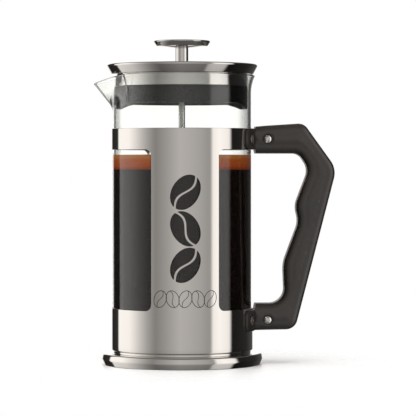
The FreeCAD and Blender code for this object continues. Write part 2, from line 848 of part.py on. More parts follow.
def spring_centre_r():
    """Radius of the edge spring's centre line."""
    return filter_r - mesh_sheet - seat_gap - spring_wire_r


def make_edge_spring():
    """Outer shape of the closed coil spring that presses the mesh against the beaker."""
    height = mesh_low() + mesh_sheet + seat_gap + spring_wire_r
    return Part.makeTorus(spring_centre_r(), spring_wire_r, FreeCAD.Vector(0, 0, height))


def make_top_plate():
    """Upper filter plate with rings of flow holes, inside the edge spring."""
    outer_r = spring_centre_r() - spring_wire_r - seat_gap
    low = mesh_low() + mesh_sheet + press_gap
    plate = disc(outer_r, low, low + top_plate_sheet, rod_r + press_gap)
    holes = []
    for share, count in top_hole_rings:
        for index in range(count):
            hole = Part.makeCylinder(top_hole_r, FAR, FreeCAD.Vector(share * outer_r + top_hole_offset, 0, 0))
            holes.append(turned(hole, index * 360 / count))
    return plate.cut(Part.makeCompound(holes))


def make_collar():
    """Collar on the rod that the filter stack is clamped against."""
    low = mesh_low() + mesh_sheet + top_plate_sheet + 2 * press_gap
    return lathe([
        (rod_r + press_gap, low),
        (collar_r, low),
        (collar_r, low + collar_height, collar_round),
        (rod_r + press_gap, low + collar_height),
    ])


def make_stem():
    """Tube round the rod between the lid and the knob."""
    return lathe([
        (rod_r + press_gap, knob_seat_z),
        (stem_r, knob_seat_z, fine_round),
        (stem_r, knob_z),
        (rod_r + press_gap, knob_z),
    ])


def make_knob():
    """Turned dish-shaped knob: flared side, shallow domed underside and a dished top."""
    side_z = knob_z + knob_dome
    top = side_z + knob_rim_height
    bore_top = knob_z + thread_depth + press_gap
    return lathe([
        (rod_r + press_gap, knob_z + press_gap),
        (stem_r + knob_neck_out, knob_z + press_gap, knob_neck_round),
        (knob_under_r, side_z, knob_round),
        (knob_r, top - knob_lip, knob_round),
        (knob_r - knob_lip, top, edge_break),
        (knob_r - knob_lip_land, top, knob_lip_round),
        (0.5 * knob_r, top - knob_top_dish, knob_neck_round),
        (0, top - knob_top_dish),
        (0, bore_top),
        (rod_r + press_gap, bore_top),
    ])


nodes = {
    "base_foot": make_foot(),
    "base_pad": make_pad(),
    "glass_cushion": make_cushion(),
    "sleeve": make_sleeve(),
    "upper_bracket": make_bracket(upper_mount_z),
    "lower_bracket": make_bracket(lower_mount_z),
    "upper_shoe": make_shoe(upper_mount_z),
    "lower_shoe": make_shoe(lower_mount_z),
    "shoe_screws": make_shoe_screws(),
    "handle": make_handle(),
    "handle_screws": make_handle_screws(),
    "handle_nuts": make_handle_nuts(),
    "glass_beaker": make_beaker(),
    "guide_bush": make_guide_bush(),
    "bush_nut": make_bush_nut(),
    "lid_cap": make_cap(),
    "lid_band": make_lid_band(),
    "strainer_insert": make_insert(),
    "plunger_rod": make_rod(),
    "rod_collar": make_collar(),
    "threaded_boss": make_boss(),
    "cross_plate": make_cross_plate(),
    "mesh_screen": make_mesh(),
    "edge_spring": make_edge_spring(),
    "top_plate": make_top_plate(),
    "knob_stem": make_stem(),
    "knob_disc": make_knob(),
}

os.makedirs("parts", exist_ok=True)
for name, shape in nodes.items():
    if not shape.isValid():
        raise ValueError(name + " is not a valid shape")
    shape.exportStep(os.path.join("parts", name + ".step"))
    box = shape.BoundBox
    print("%-16s solids %d  volume %9.1f  x %.1f..%.1f  y %.1f..%.1f  z %.1f..%.1f" % (
        name, len(shape.Solids), shape.Volume, box.XMin, box.XMax, box.YMin, box.YMax, box.ZMin, box.ZMax))
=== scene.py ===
import math

import bmesh
import bpy
import numpy as np
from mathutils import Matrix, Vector, geometry


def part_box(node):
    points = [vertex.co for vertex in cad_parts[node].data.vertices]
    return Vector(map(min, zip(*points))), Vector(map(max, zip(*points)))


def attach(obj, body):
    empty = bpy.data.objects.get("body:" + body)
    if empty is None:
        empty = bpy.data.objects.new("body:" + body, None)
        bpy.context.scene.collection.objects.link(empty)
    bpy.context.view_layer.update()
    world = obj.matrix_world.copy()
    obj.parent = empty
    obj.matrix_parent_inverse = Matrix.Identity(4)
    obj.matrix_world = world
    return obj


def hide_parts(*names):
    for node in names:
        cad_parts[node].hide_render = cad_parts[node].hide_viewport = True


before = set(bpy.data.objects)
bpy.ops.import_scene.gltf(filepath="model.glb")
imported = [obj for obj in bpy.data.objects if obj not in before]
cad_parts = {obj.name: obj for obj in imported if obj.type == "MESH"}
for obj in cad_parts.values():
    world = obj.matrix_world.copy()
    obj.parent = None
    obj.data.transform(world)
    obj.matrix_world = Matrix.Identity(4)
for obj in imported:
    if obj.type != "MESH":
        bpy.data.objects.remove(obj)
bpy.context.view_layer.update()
MM = 0.001


# ---------------------------------------------------------------- shapes

def rounded(corners, closed=True, arc_step=9.0):
    """Outline in mm whose corners (a, b, radius) become tangent arcs with a point every arc_step degrees."""
    points = []
    count = len(corners)
    for index, corner in enumerate(corners):
        here = np.array(corner[:2], float)
        radius = corner[2] if len(corner) > 2 else 0.0
        back = np.array(corners[index - 1][:2], float) - here
        ahead = np.array(corners[(index + 1) % count][:2], float) - here
        back /= np.linalg.norm(back)
        ahead /= np.linalg.norm(ahead)
        bisector = np.linalg.norm(back + ahead)
        if radius == 0.0 or bisector < 1e-6 or (not closed and index in (0, count - 1)):
            points.append(here)
            continue
        half = 0.5 * math.acos(np.clip(back @ ahead, -1.0, 1.0))
        inward = (back + ahead) / bisector
        centre = here + inward * radius / math.sin(half)
        sweep = math.pi - 2.0 * half
        steps = max(2, int(math.degrees(sweep) / arc_step) + 1)
        across = back - inward * (back @ inward)
        across /= np.linalg.norm(across)
        for turn in np.linspace(-0.5 * sweep, 0.5 * sweep, steps + 1):
            points.append(centre - radius * (inward * math.cos(turn) + across * math.sin(turn)))
    return np.array(points)


def make_mesh(name, points, faces, normals=None, sharp=35.0):
    """Object at the origin from points in mm; faces are turned to point outwards and shaded smooth."""
    points = np.asarray(points, float) * MM
    corners = [(face[0], face[index], face[index + 1]) for face in faces for index in range(1, len(face) - 1)]
    corners = points[np.array(corners)]
    volume = np.einsum("ij,ij->i", corners[:, 0], np.cross(corners[:, 1], corners[:, 2])).sum()
    if volume < 0:
        faces = [tuple(reversed(face)) for face in faces]
    mesh = bpy.data.meshes.new(name)
    mesh.from_pydata(points.tolist(), [], [tuple(int(i) for i in face) for face in faces])
    mesh.shade_smooth()
    if normals is None:
        mesh.set_sharp_from_angle(angle=math.radians(sharp))
    else:
        mesh.normals_split_custom_set_from_vertices(normals.tolist())
    piece = bpy.data.objects.new(name, mesh)
    bpy.context.scene.collection.objects.link(piece)
    return piece


def grid_faces(ids):
    """Quads between the neighbouring rows and columns of a grid of point numbers; repeats collapse."""
    quads = np.stack([ids[:-1, :-1], ids[:-1, 1:], ids[1:, 1:], ids[1:, :-1]], axis=-1).reshape(-1, 4)
    faces = []
    for quad in quads.tolist():
        face = [point for index, point in enumerate(quad) if point != quad[index - 1]]
        if len(face) > 2:
            faces.append(tuple(face))
    return faces


def skin(name, grid, loop_rows=False, sharp=35.0):
    """Surface over a grid of points in mm, closed round its columns, and round its rows if asked."""
    rows, cols = grid.shape[:2]
    ids = np.arange(rows * cols).reshape(rows, cols)
    used = np.ones(rows * cols, bool)
    for row in (0, rows - 1):
        if np.ptp(grid[row], axis=0).max() < 1e-6:
            used[ids[row, 1:]] = False
            ids[row] = ids[row, 0]
    renumber = np.cumsum(used) - 1
    ids = renumber[ids]
    ids = np.column_stack([ids, ids[:, 0]])
    if loop_rows:
        ids = np.vstack([ids, ids[0]])
    return make_mesh(name, grid.reshape(-1, 3)[used], grid_faces(ids), sharp=sharp)


def turn_profile(profile, around=192):
    """Grid of a profile (r, z) carried round Z: points (r cos t, r sin t, z) with t = 2 pi j / around."""
    angle = np.arange(around) * 2.0 * math.pi / around
    r = profile[:, 0:1]
    return np.stack([r * np.cos(angle), r * np.sin(angle), np.repeat(profile[:, 1:2], around, 1)], axis=-1)


def lathe(name, corners, around=192, solid=False, sharp=35.0):
    """Turned piece; a solid one starts and ends on the axis, any other has a closed ring outline."""
    profile = rounded(corners, closed=not solid)
    return skin(name, turn_profile(profile, around), loop_rows=not solid, sharp=sharp)


def inside(loop, points):
    """Which points lie inside a closed loop, by counting how often a ray to the right crosses it."""
    a = loop
    b = np.roll(loop, -1, 0)
    px = points[:, 0:1]
    py = points[:, 1:2]
    crosses = (a[:, 1] > py) != (b[:, 1] > py)
    rise = np.where(a[:, 1] == b[:, 1], 1e-12, b[:, 1] - a[:, 1])
    at = a[:, 0] + (py - a[:, 1]) * (b[:, 0] - a[:, 0]) / rise
    return (crosses & (px < at)).sum(1) % 2 == 1


def shifted(loop, distance):
    """Closed loop moved sideways: each point goes along the mean normal of its two sides."""
    ahead = np.roll(loop, -1, 0) - loop
    ahead /= np.linalg.norm(ahead, axis=1, keepdims=True)
    side = np.stack([ahead[:, 1], -ahead[:, 0]], 1)
    mean = side + np.roll(side, 1, 0)
    mean /= np.maximum(np.linalg.norm(mean, axis=1, keepdims=True), 1e-9)
    stretch = np.clip(1.0 / np.maximum((mean * side).sum(1), 0.4), 1.0, 2.0)
    return loop + mean * stretch[:, None] * distance


def fill(outer, holes, spare, clear):
    """Triangles of a flat region with holes: boundary loops plus the spare points that lie well inside.

    Returns the flat points and the triangles; the loops come first, in order and unchanged."""
    loops = [outer] + holes
    keep = inside(outer, spare)
    for hole in holes:
        keep &= ~inside(hole, spare)
    for loop in loops:
        near = np.linalg.norm(spare[:, None] - loop[None], axis=2).min(1) > clear
        keep &= near
    flat = np.vstack(loops + [spare[keep]])
    edges = []
    start = 0
    for loop in loops:
        ids = list(range(start, start + len(loop)))
        edges += list(zip(ids, ids[1:] + ids[:1]))
        start += len(loop)
    found = geometry.delaunay_2d_cdt([Vector(point) for point in flat], edges, [], 0, 1e-7)
    places = np.array([list(point) for point in found[0]])
    source = [ids[0] for ids in found[3]]
    triangles = np.array([face for face in found[2] if len(face) == 3])
    centres = places[triangles].mean(1)
    first = places[triangles[:, 1]] - places[triangles[:, 0]]
    second = places[triangles[:, 2]] - places[triangles[:, 0]]
    area = 0.5 * np.abs(first[:, 0] * second[:, 1] - first[:, 1] * second[:, 0])
    good = inside(outer, centres) & (area > 0.001)
    for hole in holes:
        good &= ~inside(hole, centres)
    return flat, np.array(source)[triangles[good]]


def circle(centre, radius, count=48):
    """Round loop about a flat centre."""
    turn = np.arange(count) * 2.0 * math.pi / count
    return np.stack([centre[0] + radius * np.cos(turn), centre[1] + radius * np.sin(turn)], 1)


def roll(flat, radius, girth_r):
    """Rolls flat points (u, z) round Z: angle u / girth_r from -Y towards +X."""
    angle = flat[:, 0] / girth_r
    return np.stack([radius * np.sin(angle), -radius * np.cos(angle), flat[:, 1]], 1)


# ---------------------------------------------------------------- materials

def linear(code):
    """Linear colour of an sRGB hex code such as 1a2b3c."""
    parts = [int(code[index:index + 2], 16) / 255.0 for index in (0, 2, 4)]
    return tuple(c / 12.92 if c <= 0.04045 else ((c + 0.055) / 1.055) ** 2.4 for c in parts) + (1.0,)


def node(material, kind, settings=None, **inputs):
    """Adds a node: settings are its properties, inputs are values or output sockets by input name."""
    made = material.node_tree.nodes.new(kind)
    for key, value in (settings or {}).items():
        setattr(made, key, value)
    for key, value in inputs.items():
        socket = made.inputs[int(key[1:])] if key[0] == "i" and key[1:].isdigit() else made.inputs[
            key.replace("_", " ")]
        if isinstance(value, bpy.types.NodeSocket):
            material.node_tree.links.new(value, socket)
        else:
            socket.default_value = value
    return made


def finish(name, colour, roughness, **shader):
    """New material with one Principled shader; further keys are socket names with _ for spaces."""
    material = bpy.data.materials.new(name)
    material.use_nodes = True
    principled = material.node_tree.nodes["Principled BSDF"]
    for key, value in dict(shader, Base_Color=linear(colour), Roughness=roughness).items():
        principled.inputs[key.replace("_", " ")].default_value = value
    place = node(material, "ShaderNodeTexCoord")
    return material, principled, place.outputs["Object"]


def join(material, output, shader, socket):
    """Links an output to one of the shader's sockets."""
    material.node_tree.links.new(output, shader.inputs[socket])


def ramp(material, value, stops):
    """Colour ramp over a value; stops are (position, hex or grey)."""
    made = node(material, "ShaderNodeValToRGB", i0=value)
    band = made.color_ramp
    while len(band.elements) < len(stops):
        band.elements.new(0.5)
    for element, (position, colour) in zip(band.elements, stops):
        element.position = position
        element.color = linear(colour) if isinstance(colour, str) else (colour, colour, colour, 1.0)
    return made.outputs["Color"]


def graded(material, shader, socket, value, stops):
    """Drives one of the shader's sockets by a ramp over a value."""
    join(material, ramp(material, value, stops), shader, socket)


def relief(material, shader, height, strength, distance):
    """Bends the shader's normals by a height; the distance is in metres."""
    bump = node(material, "ShaderNodeBump", Height=height, Strength=strength, Distance=distance)
    join(material, bump.outputs["Normal"], shader, "Normal")


def noise(material, place, scale, detail=2.0, roughness=0.5):
    """Cloudy value with features of about 1 / scale metres."""
    made = node(material, "ShaderNodeTexNoise", Vector=place, Scale=scale, Detail=detail, Roughness=roughness)
    return made.outputs["Fac"]


def cells(material, place, scale):
    """Distance to the nearest of scattered points about 1 / scale metres apart."""
    return node(material, "ShaderNodeTexVoronoi", Vector=place, Scale=scale).outputs["Distance"]


def calc(material, operation, *values):
    """Result of one Math node over values or output sockets."""
    inputs = {"i" + str(index): value for index, value in enumerate(values)}
    return node(material, "ShaderNodeMath", {"operation": operation}, **inputs).outputs[0]


def mirror_steel():
    """Rolled 18/10 stainless sheet buffed to a mirror: sharp reflections, faintly hazed by buffing swirls."""
    material, shader, place = finish("mirror_polished_stainless", "d9d6d2", 0.05, Metallic=1.0)
    haze = noise(material, place, 55.0, 4.0, 0.6)
    graded(material, shader, "Roughness", haze, [(0.35, 0.035), (0.7, 0.085)])
    stretch = node(material, "ShaderNodeMapping", Vector=place, Scale=(1.0, 1.0, 0.22))
    wave = noise(material, stretch.outputs["Vector"], 26.0, 1.0)
    relief(material, shader, wave, 0.03, 0.004)
    return material


def etched_steel():
    """Acid-etched stainless: a dull dark grey that scatters light, so that the lines read on the mirror."""
    material, shader, place = finish("acid_etched_stainless", "57534f", 0.5, Metallic=1.0)
    bite = noise(material, place, 1500.0)
    graded(material, shader, "Base Color", bite, [(0.3, "4a4643"), (0.7, "66615c")])
    return material


def chrome():
    """Nickel-chrome plating on turned steel: cool, very sharp reflections, faintly hazed."""
    material, shader, place = finish("chrome_plated_steel", "c6c5c4", 0.045, Metallic=1.0)
    haze = noise(material, place, 90.0, 3.0)
    graded(material, shader, "Roughness", haze, [(0.3, 0.03), (0.75, 0.07)])
    return material


def satin_steel():
    """Drawn and ground stainless: soft broad highlights and fine rings about 0.8 mm apart along Z."""
    material, shader, place = finish("satin_stainless", "c4c2be", 0.24, Metallic=1.0)
    rings = node(material, "ShaderNodeTexWave", {"bands_direction": "Z"}, Vector=place, Scale=400.0,
                 Distortion=1.5, Detail=2.0)
    relief(material, shader, rings.outputs["Fac"], 0.12, 0.0001)
    grain = noise(material, place, 600.0)
    graded(material, shader, "Roughness", grain, [(0.3, 0.18), (0.7, 0.32)])
    return material


def zinc():
    """Zinc-plated pressed steel: pale grey with a mottled, slightly bluish sheen."""
    material, shader, place = finish("zinc_plated_steel", "b9bcc0", 0.35, Metallic=1.0)
    mottle = cells(material, place, 320.0)
    graded(material, shader, "Base Color", mottle, [(0.0, "a9adb3"), (1.0, "c6c8ca")])
    return material


def handle_plastic():
    """Glass-filled nylon from a spark-eroded mould: deep black, a soft sheen broken by a 0.4 mm grain."""
    material, shader, place = finish("moulded_black_nylon", "211d1a", 0.42, IOR=1.53,
                                     Specular_IOR_Level=0.95)
    grain = noise(material, place, 2600.0, 3.0, 0.65)
    relief(material, shader, grain, 0.18, 0.0002)
    rub = noise(material, place, 45.0, 4.0)
    graded(material, shader, "Roughness", rub, [(0.3, 0.34), (0.75, 0.46)])
    graded(material, shader, "Base Color", rub, [(0.3, "1d1713"), (0.8, "29211b")])
    return material


def insert_plastic():
    """Smooth moulded polypropylene: black with a waxy, slightly brighter sheen than the handle."""
    material, shader, place = finish("moulded_black_polypropylene", "0b0a0a", 0.3, IOR=1.49,
                                     Specular_IOR_Level=0.3)
    flow = noise(material, place, 120.0, 3.0)
    graded(material, shader, "Roughness", flow, [(0.3, 0.24), (0.7, 0.36)])
    relief(material, shader, flow, 0.05, 0.0005)
    return material


def beaker_glass():
    """Blown borosilicate, fire-polished: clear, with a faint draw wave that bends reflections slightly."""
    material, shader, place = finish("blown_borosilicate", "fbfdfc", 0.0, IOR=1.474,
                                     Transmission_Weight=1.0)
    draw = noise(material, place, 18.0, 1.0)
    relief(material, shader, draw, 0.01, 0.001)
    return material


def coffee():
    """Brewed black coffee behind glass: nearly black with a red-brown body colour and a wet gloss."""
    material, shader, place = finish("brewed_coffee", "120603", 0.12, IOR=1.34)
    cloud = noise(material, place, 30.0)
    graded(material, shader, "Base Color", cloud, [(0.3, "170d08"), (0.8, "20120b")])
    return material


def crema():
    """Coffee foam: hazelnut to orange-brown froth of bubbles 1 to 3 mm across, paler at its top."""
    material, shader, place = finish("coffee_crema", "c0743c", 0.55, IOR=1.34, Subsurface_Weight=0.25,
                                     Subsurface_Scale=0.002, Subsurface_Radius=(1.0, 0.45, 0.2))
    fine = cells(material, place, 900.0)
    coarse = cells(material, place, 330.0)
    relief(material, shader, calc(material, "ADD", fine, coarse), 0.5, 0.0006)
    split = node(material, "ShaderNodeSeparateXYZ", Vector=place)
    wobble = noise(material, place, 260.0, 3.0)
    level = calc(material, "MULTIPLY_ADD", wobble, 0.0025, split.outputs["Z"])
    share = node(material, "ShaderNodeMapRange", Value=level, From_Min=foam_low * MM,
                 From_Max=foam_high * MM + 0.002)
    graded(material, shader, "Base Color", share.outputs[0],
           [(0.0, "6e280a"), (0.3, "cb5c16"), (0.75, "dd7526"), (1.0, "eeaa62")])
    return material


def woven_mesh():
    """Plain-woven stainless cloth, drawn at 0.9 mm pitch so that the weave shows, with the gaps between the
    wires painted dark grey as painted shade instead of being see-through.
    """
    material, shader, place = finish("woven_stainless_mesh", "bdbbb6", 0.3, Metallic=1.0)
    pitch = 0.9 * MM
    split = node(material, "ShaderNodeSeparateXYZ", Vector=place)
    waves = []
    for axis in ("X", "Y"):
        wave = calc(material, "SINE", calc(material, "MULTIPLY", split.outputs[axis], math.pi / pitch))
        waves.append(calc(material, "ABSOLUTE", wave))
    cloth = calc(material, "MAXIMUM", *waves)
    relief(material, shader, cloth, 0.6, 0.0003)
    # painted shade: where the weave is low, in the gaps between the wires, the colour is dark grey, standing
    # in for the shade seen through the gaps
    graded(material, shader, "Base Color", cloth, [(0.35, "2a2a29"), (0.6, "bdbbb6")])
    return material


def silicone():
    """Milky translucent silicone: soft, diffuse and slightly tacky."""
    material, shader, place = finish("milky_silicone", "d5d4d0", 0.5, IOR=1.41, Subsurface_Weight=0.3,
                                     Subsurface_Scale=0.003)
    dust = noise(material, place, 200.0, 3.0)
    graded(material, shader, "Roughness", dust, [(0.3, 0.42), (0.7, 0.62)])
    return material


def pad_rubber():
    """Moulded rubber: matt near-black with a pebbled 1 mm grain that grips."""
    material, shader, place = finish("pebbled_rubber", "1b1b1b", 0.8, IOR=1.52)
    pebble = cells(material, place, 1000.0)
    relief(material, shader, pebble, 0.4, 0.0003)
    return material


def pale_floor():
    """Matt white table that fades out round the object, so that it meets the pale backdrop with no edge."""
    material, shader, place = finish("pale_table", "f4f3f2", 0.35, IOR=1.45)
    reach = node(material, "ShaderNodeVectorMath", {"operation": "LENGTH"}, Vector=place)
    fade = node(material, "ShaderNodeMapRange", Value=reach.outputs["Value"], From_Min=0.059, From_Max=0.15,
                To_Min=1.0, To_Max=0.0)
    join(material, fade.outputs[0], shader, "Alpha")
    return material


def wear(piece, material, body, slot, *replaced):
    """Gives a piece its finish and its body, and hides the CAD nodes that it stands for; the slot is not
    used.
    """
    piece.data.materials.clear()
    piece.data.materials.append(material)
    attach(piece, body)
    if replaced:
        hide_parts(*replaced)
    return piece


# ---------------------------------------------------------------- places, in mm

def box_mm(name):
    """Lowest and highest corner of a CAD node in mm."""
    low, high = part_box(name)
    return np.array(low) / MM, np.array(high) / MM


def span(name):
    """A turned node's lowest and highest height and its radius, in mm."""
    low, high = box_mm(name)
    return low[2], high[2], high[0]


sleeve_low, sleeve_high = box_mm("sleeve")
glass_low, glass_high = box_mm("glass_beaker")
foot_high = box_mm("base_foot")[1]
pad_high = box_mm("base_pad")[1]
handle_low, handle_high = box_mm("handle")
shoe_boxes = {"upper_shoe": box_mm("upper_shoe"), "lower_shoe": box_mm("lower_shoe")}
cap_low = box_mm("lid_cap")[0]
spring_low, spring_high = box_mm("edge_spring")
screws_low, screws_high = box_mm("handle_screws")

sleeve_r = sleeve_high[0]
sheet = 0.8
flare_out = 3.1
flare_height = 13.0
glass_wall = 2.0
glass_floor = 2.5
glass_corner = 9.0
spout_out = 13.8
glass_r = glass_high[0] - flare_out
glass_top = glass_high[2]
inner_r = glass_r - glass_wall
shoe_r = shoe_boxes["upper_shoe"][1][0]
bush_r = 5.5
head_r = 3.5
window_low = sleeve_low[2] + 30.3
window_high = sleeve_high[2] - 15.0
strip_half = math.radians(27.8)
rod_r = span("plunger_rod")[2]
foam_low = glass_low[2] + 126.0
foam_high = foam_low + 9.2


# ---------------------------------------------------------------- foot

def foot_piece():
    """Spun foot: its section (convex skirt, step, raised floor) carried round the axis."""
    wide = foot_high[0] + 0.11
    top = 8.2
    wall = 1.2
    neck = sleeve_r - 1.4
    edge = wide - 1.4
    shoulder = wide - 0.84
    floor = foot_high[2]
    return lathe("foot_shell", [
        (edge - wall, 0.0), (edge, 0.0, 0.3), (wide, 4.1, 3.0), (shoulder, top, 1.6), (neck, top, 0.4),
        (neck, floor), (1.0, floor), (1.0, floor - wall), (neck - wall, floor - wall),
        (neck - wall, top - wall), (shoulder - 1.7, top - wall), (wide - 1.44, 4.1),
    ], around=256)


def pad_piece():
    """Pad under the foot: a flat disc whose underside has five ring grooves 0.7 mm deep."""
    corners = [(0.0, pad_high[2]), (pad_high[0], pad_high[2], 0.4), (pad_high[0], 0.0, 0.5)]
    depth = 0.7
    half = 1.5
    floor_half = 1.0
    for ring in (48.0, 40.0, 32.0, 24.0, 16.0):
        corners += [(ring + half, 0.0), (ring + floor_half, depth, 0.2), (ring - floor_half, depth, 0.2),
                    (ring - half, 0.0)]
    corners.append((0.0, 0.0))
    return lathe("non_slip_pad", corners, around=128, solid=True)


# ---------------------------------------------------------------- sleeve

bean_half_length = 13.0
bean_half_width = 9.5


def bean_lobes(centre_u, centre_z, tilt, size=1.0, half_bridge=0.8, count=84):
    """Two lobes of a bean on the flat sheet: half ellipses either side of an S-shaped bridge.

    In the bean's own frame the ellipse is (a / 9.5)^2 + (b / 13)^2 = 1, times size, and the bridge's
    middle is a = 2.6 sin(pi b / 14), times size."""
    high = bean_half_length * size
    wide = bean_half_width * size
    b = np.linspace(-high, high, 400)
    middle = 2.6 * size * np.sin(math.pi * b / (high + size))
    oval = wide * np.sqrt(np.maximum(1.0 - (b / high) ** 2, 0.0))
    lobes = []
    for side in (1, -1):
        edge = side * middle + half_bridge
        keep = oval > edge
        rise = np.stack([edge[keep], b[keep]], 1)
        fall = np.stack([oval[keep], b[keep]], 1)[::-1]
        loop = even_loop(np.vstack([rise, fall]), count)
        loop[:, 0] *= side
        flat = on_sheet(loop, centre_u, centre_z, tilt)
        lobes.append(flat if side > 0 else flat[::-1])
    return lobes


def on_sheet(loop, centre_u, centre_z, tilt):
    """A loop leant by tilt degrees and laid on the sleeve's flat sheet as seen from straight in front."""
    turn = math.radians(tilt)
    x = loop[:, 0] * math.cos(turn) + loop[:, 1] * math.sin(turn)
    z = loop[:, 1] * math.cos(turn) - loop[:, 0] * math.sin(turn)
    return np.stack([sleeve_r * np.arcsin(x / sleeve_r) + centre_u, z + centre_z], 1)


def etched_row():
    """Row of five small bean outlines etched on the front strip: rolled plates with the lobes left open."""
    size = 0.44
    line = 0.45
    half_bridge = 0.22
    pitch = 8.9
    z = window_low + 8.6
    lift = 0.05
    rim = circle((0.0, 0.0), 1.0, 72) * [bean_half_width * size + line, bean_half_length * size + line]
    parts = []
    for index in range(5):
        u = pitch * (index - 2)
        tilt = 18.0 if index % 2 == 0 else -18.0
        holes = bean_lobes(u, z, tilt, size, half_bridge, 48)
        plate = rolled_plate(on_sheet(rim, u, z, tilt), holes, np.zeros((0, 2)), sleeve_r + lift,
                             sleeve_r - lift, 0.02)
        parts.append(make_mesh("etched_bean", *plate))
    return gather("etched_beans", parts)


def even_loop(loop, count):
    """The same closed loop with count points an equal way apart."""
    closed = np.vstack([loop, loop[:1]])
    along = np.concatenate([[0.0], np.cumsum(np.linalg.norm(np.diff(closed, axis=0), axis=1))])
    at = np.linspace(0.0, along[-1], count, endpoint=False)
    return np.stack([np.interp(at, along, closed[:, 0]), np.interp(at, along, closed[:, 1])], 1)


def dense(loop, step):
    """The closed loop with its long straight runs cut into lengths of at least step mm."""
    runs = []
    for a, b in zip(loop, np.roll(loop, -1, 0)):
        pieces = max(1, int(np.linalg.norm(b - a) / step))
        runs.append(a + (b - a) * np.arange(pieces)[:, None] / pieces)
    return np.vstack(runs)


def box_loop(low, high, radius, step):
    """Rounded rectangle on the flat sheet, with a point about every step mm."""
    corners = [(low[0], low[1], radius), (high[0], low[1], radius), (high[0], high[1], radius),
               (low[0], high[1], radius)]
    return dense(rounded(corners), step)


def counterclockwise(loop):
    """The loop in the turning sense that keeps its inside on the left."""
    ahead = np.roll(loop, -1, 0)
    area = (loop[:, 0] * ahead[:, 1] - ahead[:, 0] * loop[:, 1]).sum()
    return loop if area > 0 else loop[::-1]


def rolled_plate(outer, holes, spare, outside_r, inside_r, bevel, open_rim=False):
    """Points, faces and normals of a flat cut sheet rolled round Z, with softened cut edges.

    Rows down each cut: outer face, edge, edge, inner face, with the edge rows one bevel further out.
    An open rim is left uncut, to be joined to another surface."""
    loops = [counterclockwise(outer)] + [counterclockwise(hole)[::-1] for hole in holes]
    insets = [loop if open_rim and index == 0 else shifted(loop, -bevel) for index, loop in enumerate(loops)]
    flat, triangles = fill(insets[0], insets[1:], spare, 0.7)
    radial = roll(flat * [1.0, 0.0], 1.0, outside_r)
    points = [roll(flat, outside_r, outside_r), roll(flat, inside_r, outside_r)]
    normals = [radial, -radial]
    count = len(flat)
    faces = [tuple(face) for face in triangles] + [tuple(face[::-1] + count) for face in triangles]
    offset = 2 * count
    start = 0
    for index, loop in enumerate(loops):
        size = len(loop)
        if open_rim and index == 0:
            start += size
            continue
        ahead = np.roll(loop, -1, 0) - np.roll(loop, 1, 0)
        ahead /= np.linalg.norm(ahead, axis=1, keepdims=True)
        angle = loop[:, 0] / outside_r
        tangent = np.stack([np.cos(angle), np.sin(angle), 0 * angle], 1)
        across = tangent * ahead[:, 1:2] + np.array([0.0, 0.0, -1.0]) * ahead[:, 0:1]
        points += [roll(loop, outside_r - bevel, outside_r), roll(loop, inside_r + bevel, outside_r)]
        normals += [across, across]
        ring = np.arange(size)
        rows = np.array([start + ring, offset + ring, offset + size + ring, count + start + ring])
        rows = np.column_stack([rows, rows[:, 0]])
        faces += [tuple(reversed(face)) for face in grid_faces(rows)]
        offset += 2 * size
        start += size
    return np.vstack(points), faces, np.vstack(normals)


def weld(points, faces, normals):
    """Joins points that lie in one place, with the mean of their normals."""
    keys = np.round(points * 500.0 + 0.137).astype(np.int64)
    first, ids = np.unique(keys, axis=0, return_index=True, return_inverse=True)[1:]
    ids = ids.ravel()
    mean = np.zeros((len(first), 3))
    np.add.at(mean, ids, normals)
    mean /= np.maximum(np.linalg.norm(mean, axis=1, keepdims=True), 1e-9)
    joined = []
    for face in faces:
        face = [ids[point] for point in face]
        face = [point for index, point in enumerate(face) if point != face[index - 1]]
        if len(face) > 2:
            joined.append(tuple(face))
    return points[first], joined, mean


sleeve_columns = 240


def ring_part(profile, flat_rows):
    """Points, faces and normals of an open profile (r, z) carried round Z in the sleeve's columns.

    A normal is the profile's slope turned by a right angle; flat_rows keep a level one."""
    grid = turn_profile(profile, sleeve_columns)
    ids = np.arange(grid.shape[0] * grid.shape[1]).reshape(grid.shape[:2])
    slope = np.gradient(profile, axis=0)
    slope /= np.linalg.norm(slope, axis=1, keepdims=True)
    for row, rise in flat_rows:
        slope[row] = (rise, 0.0)
    out = turn_profile(np.stack([-slope[:, 1], slope[:, 0]], 1), sleeve_columns)
    faces = [face[::-1] for face in grid_faces(np.column_stack([ids, ids[:, 0]]))]
    return grid.reshape(-1, 3), faces, out.reshape(-1, 3)


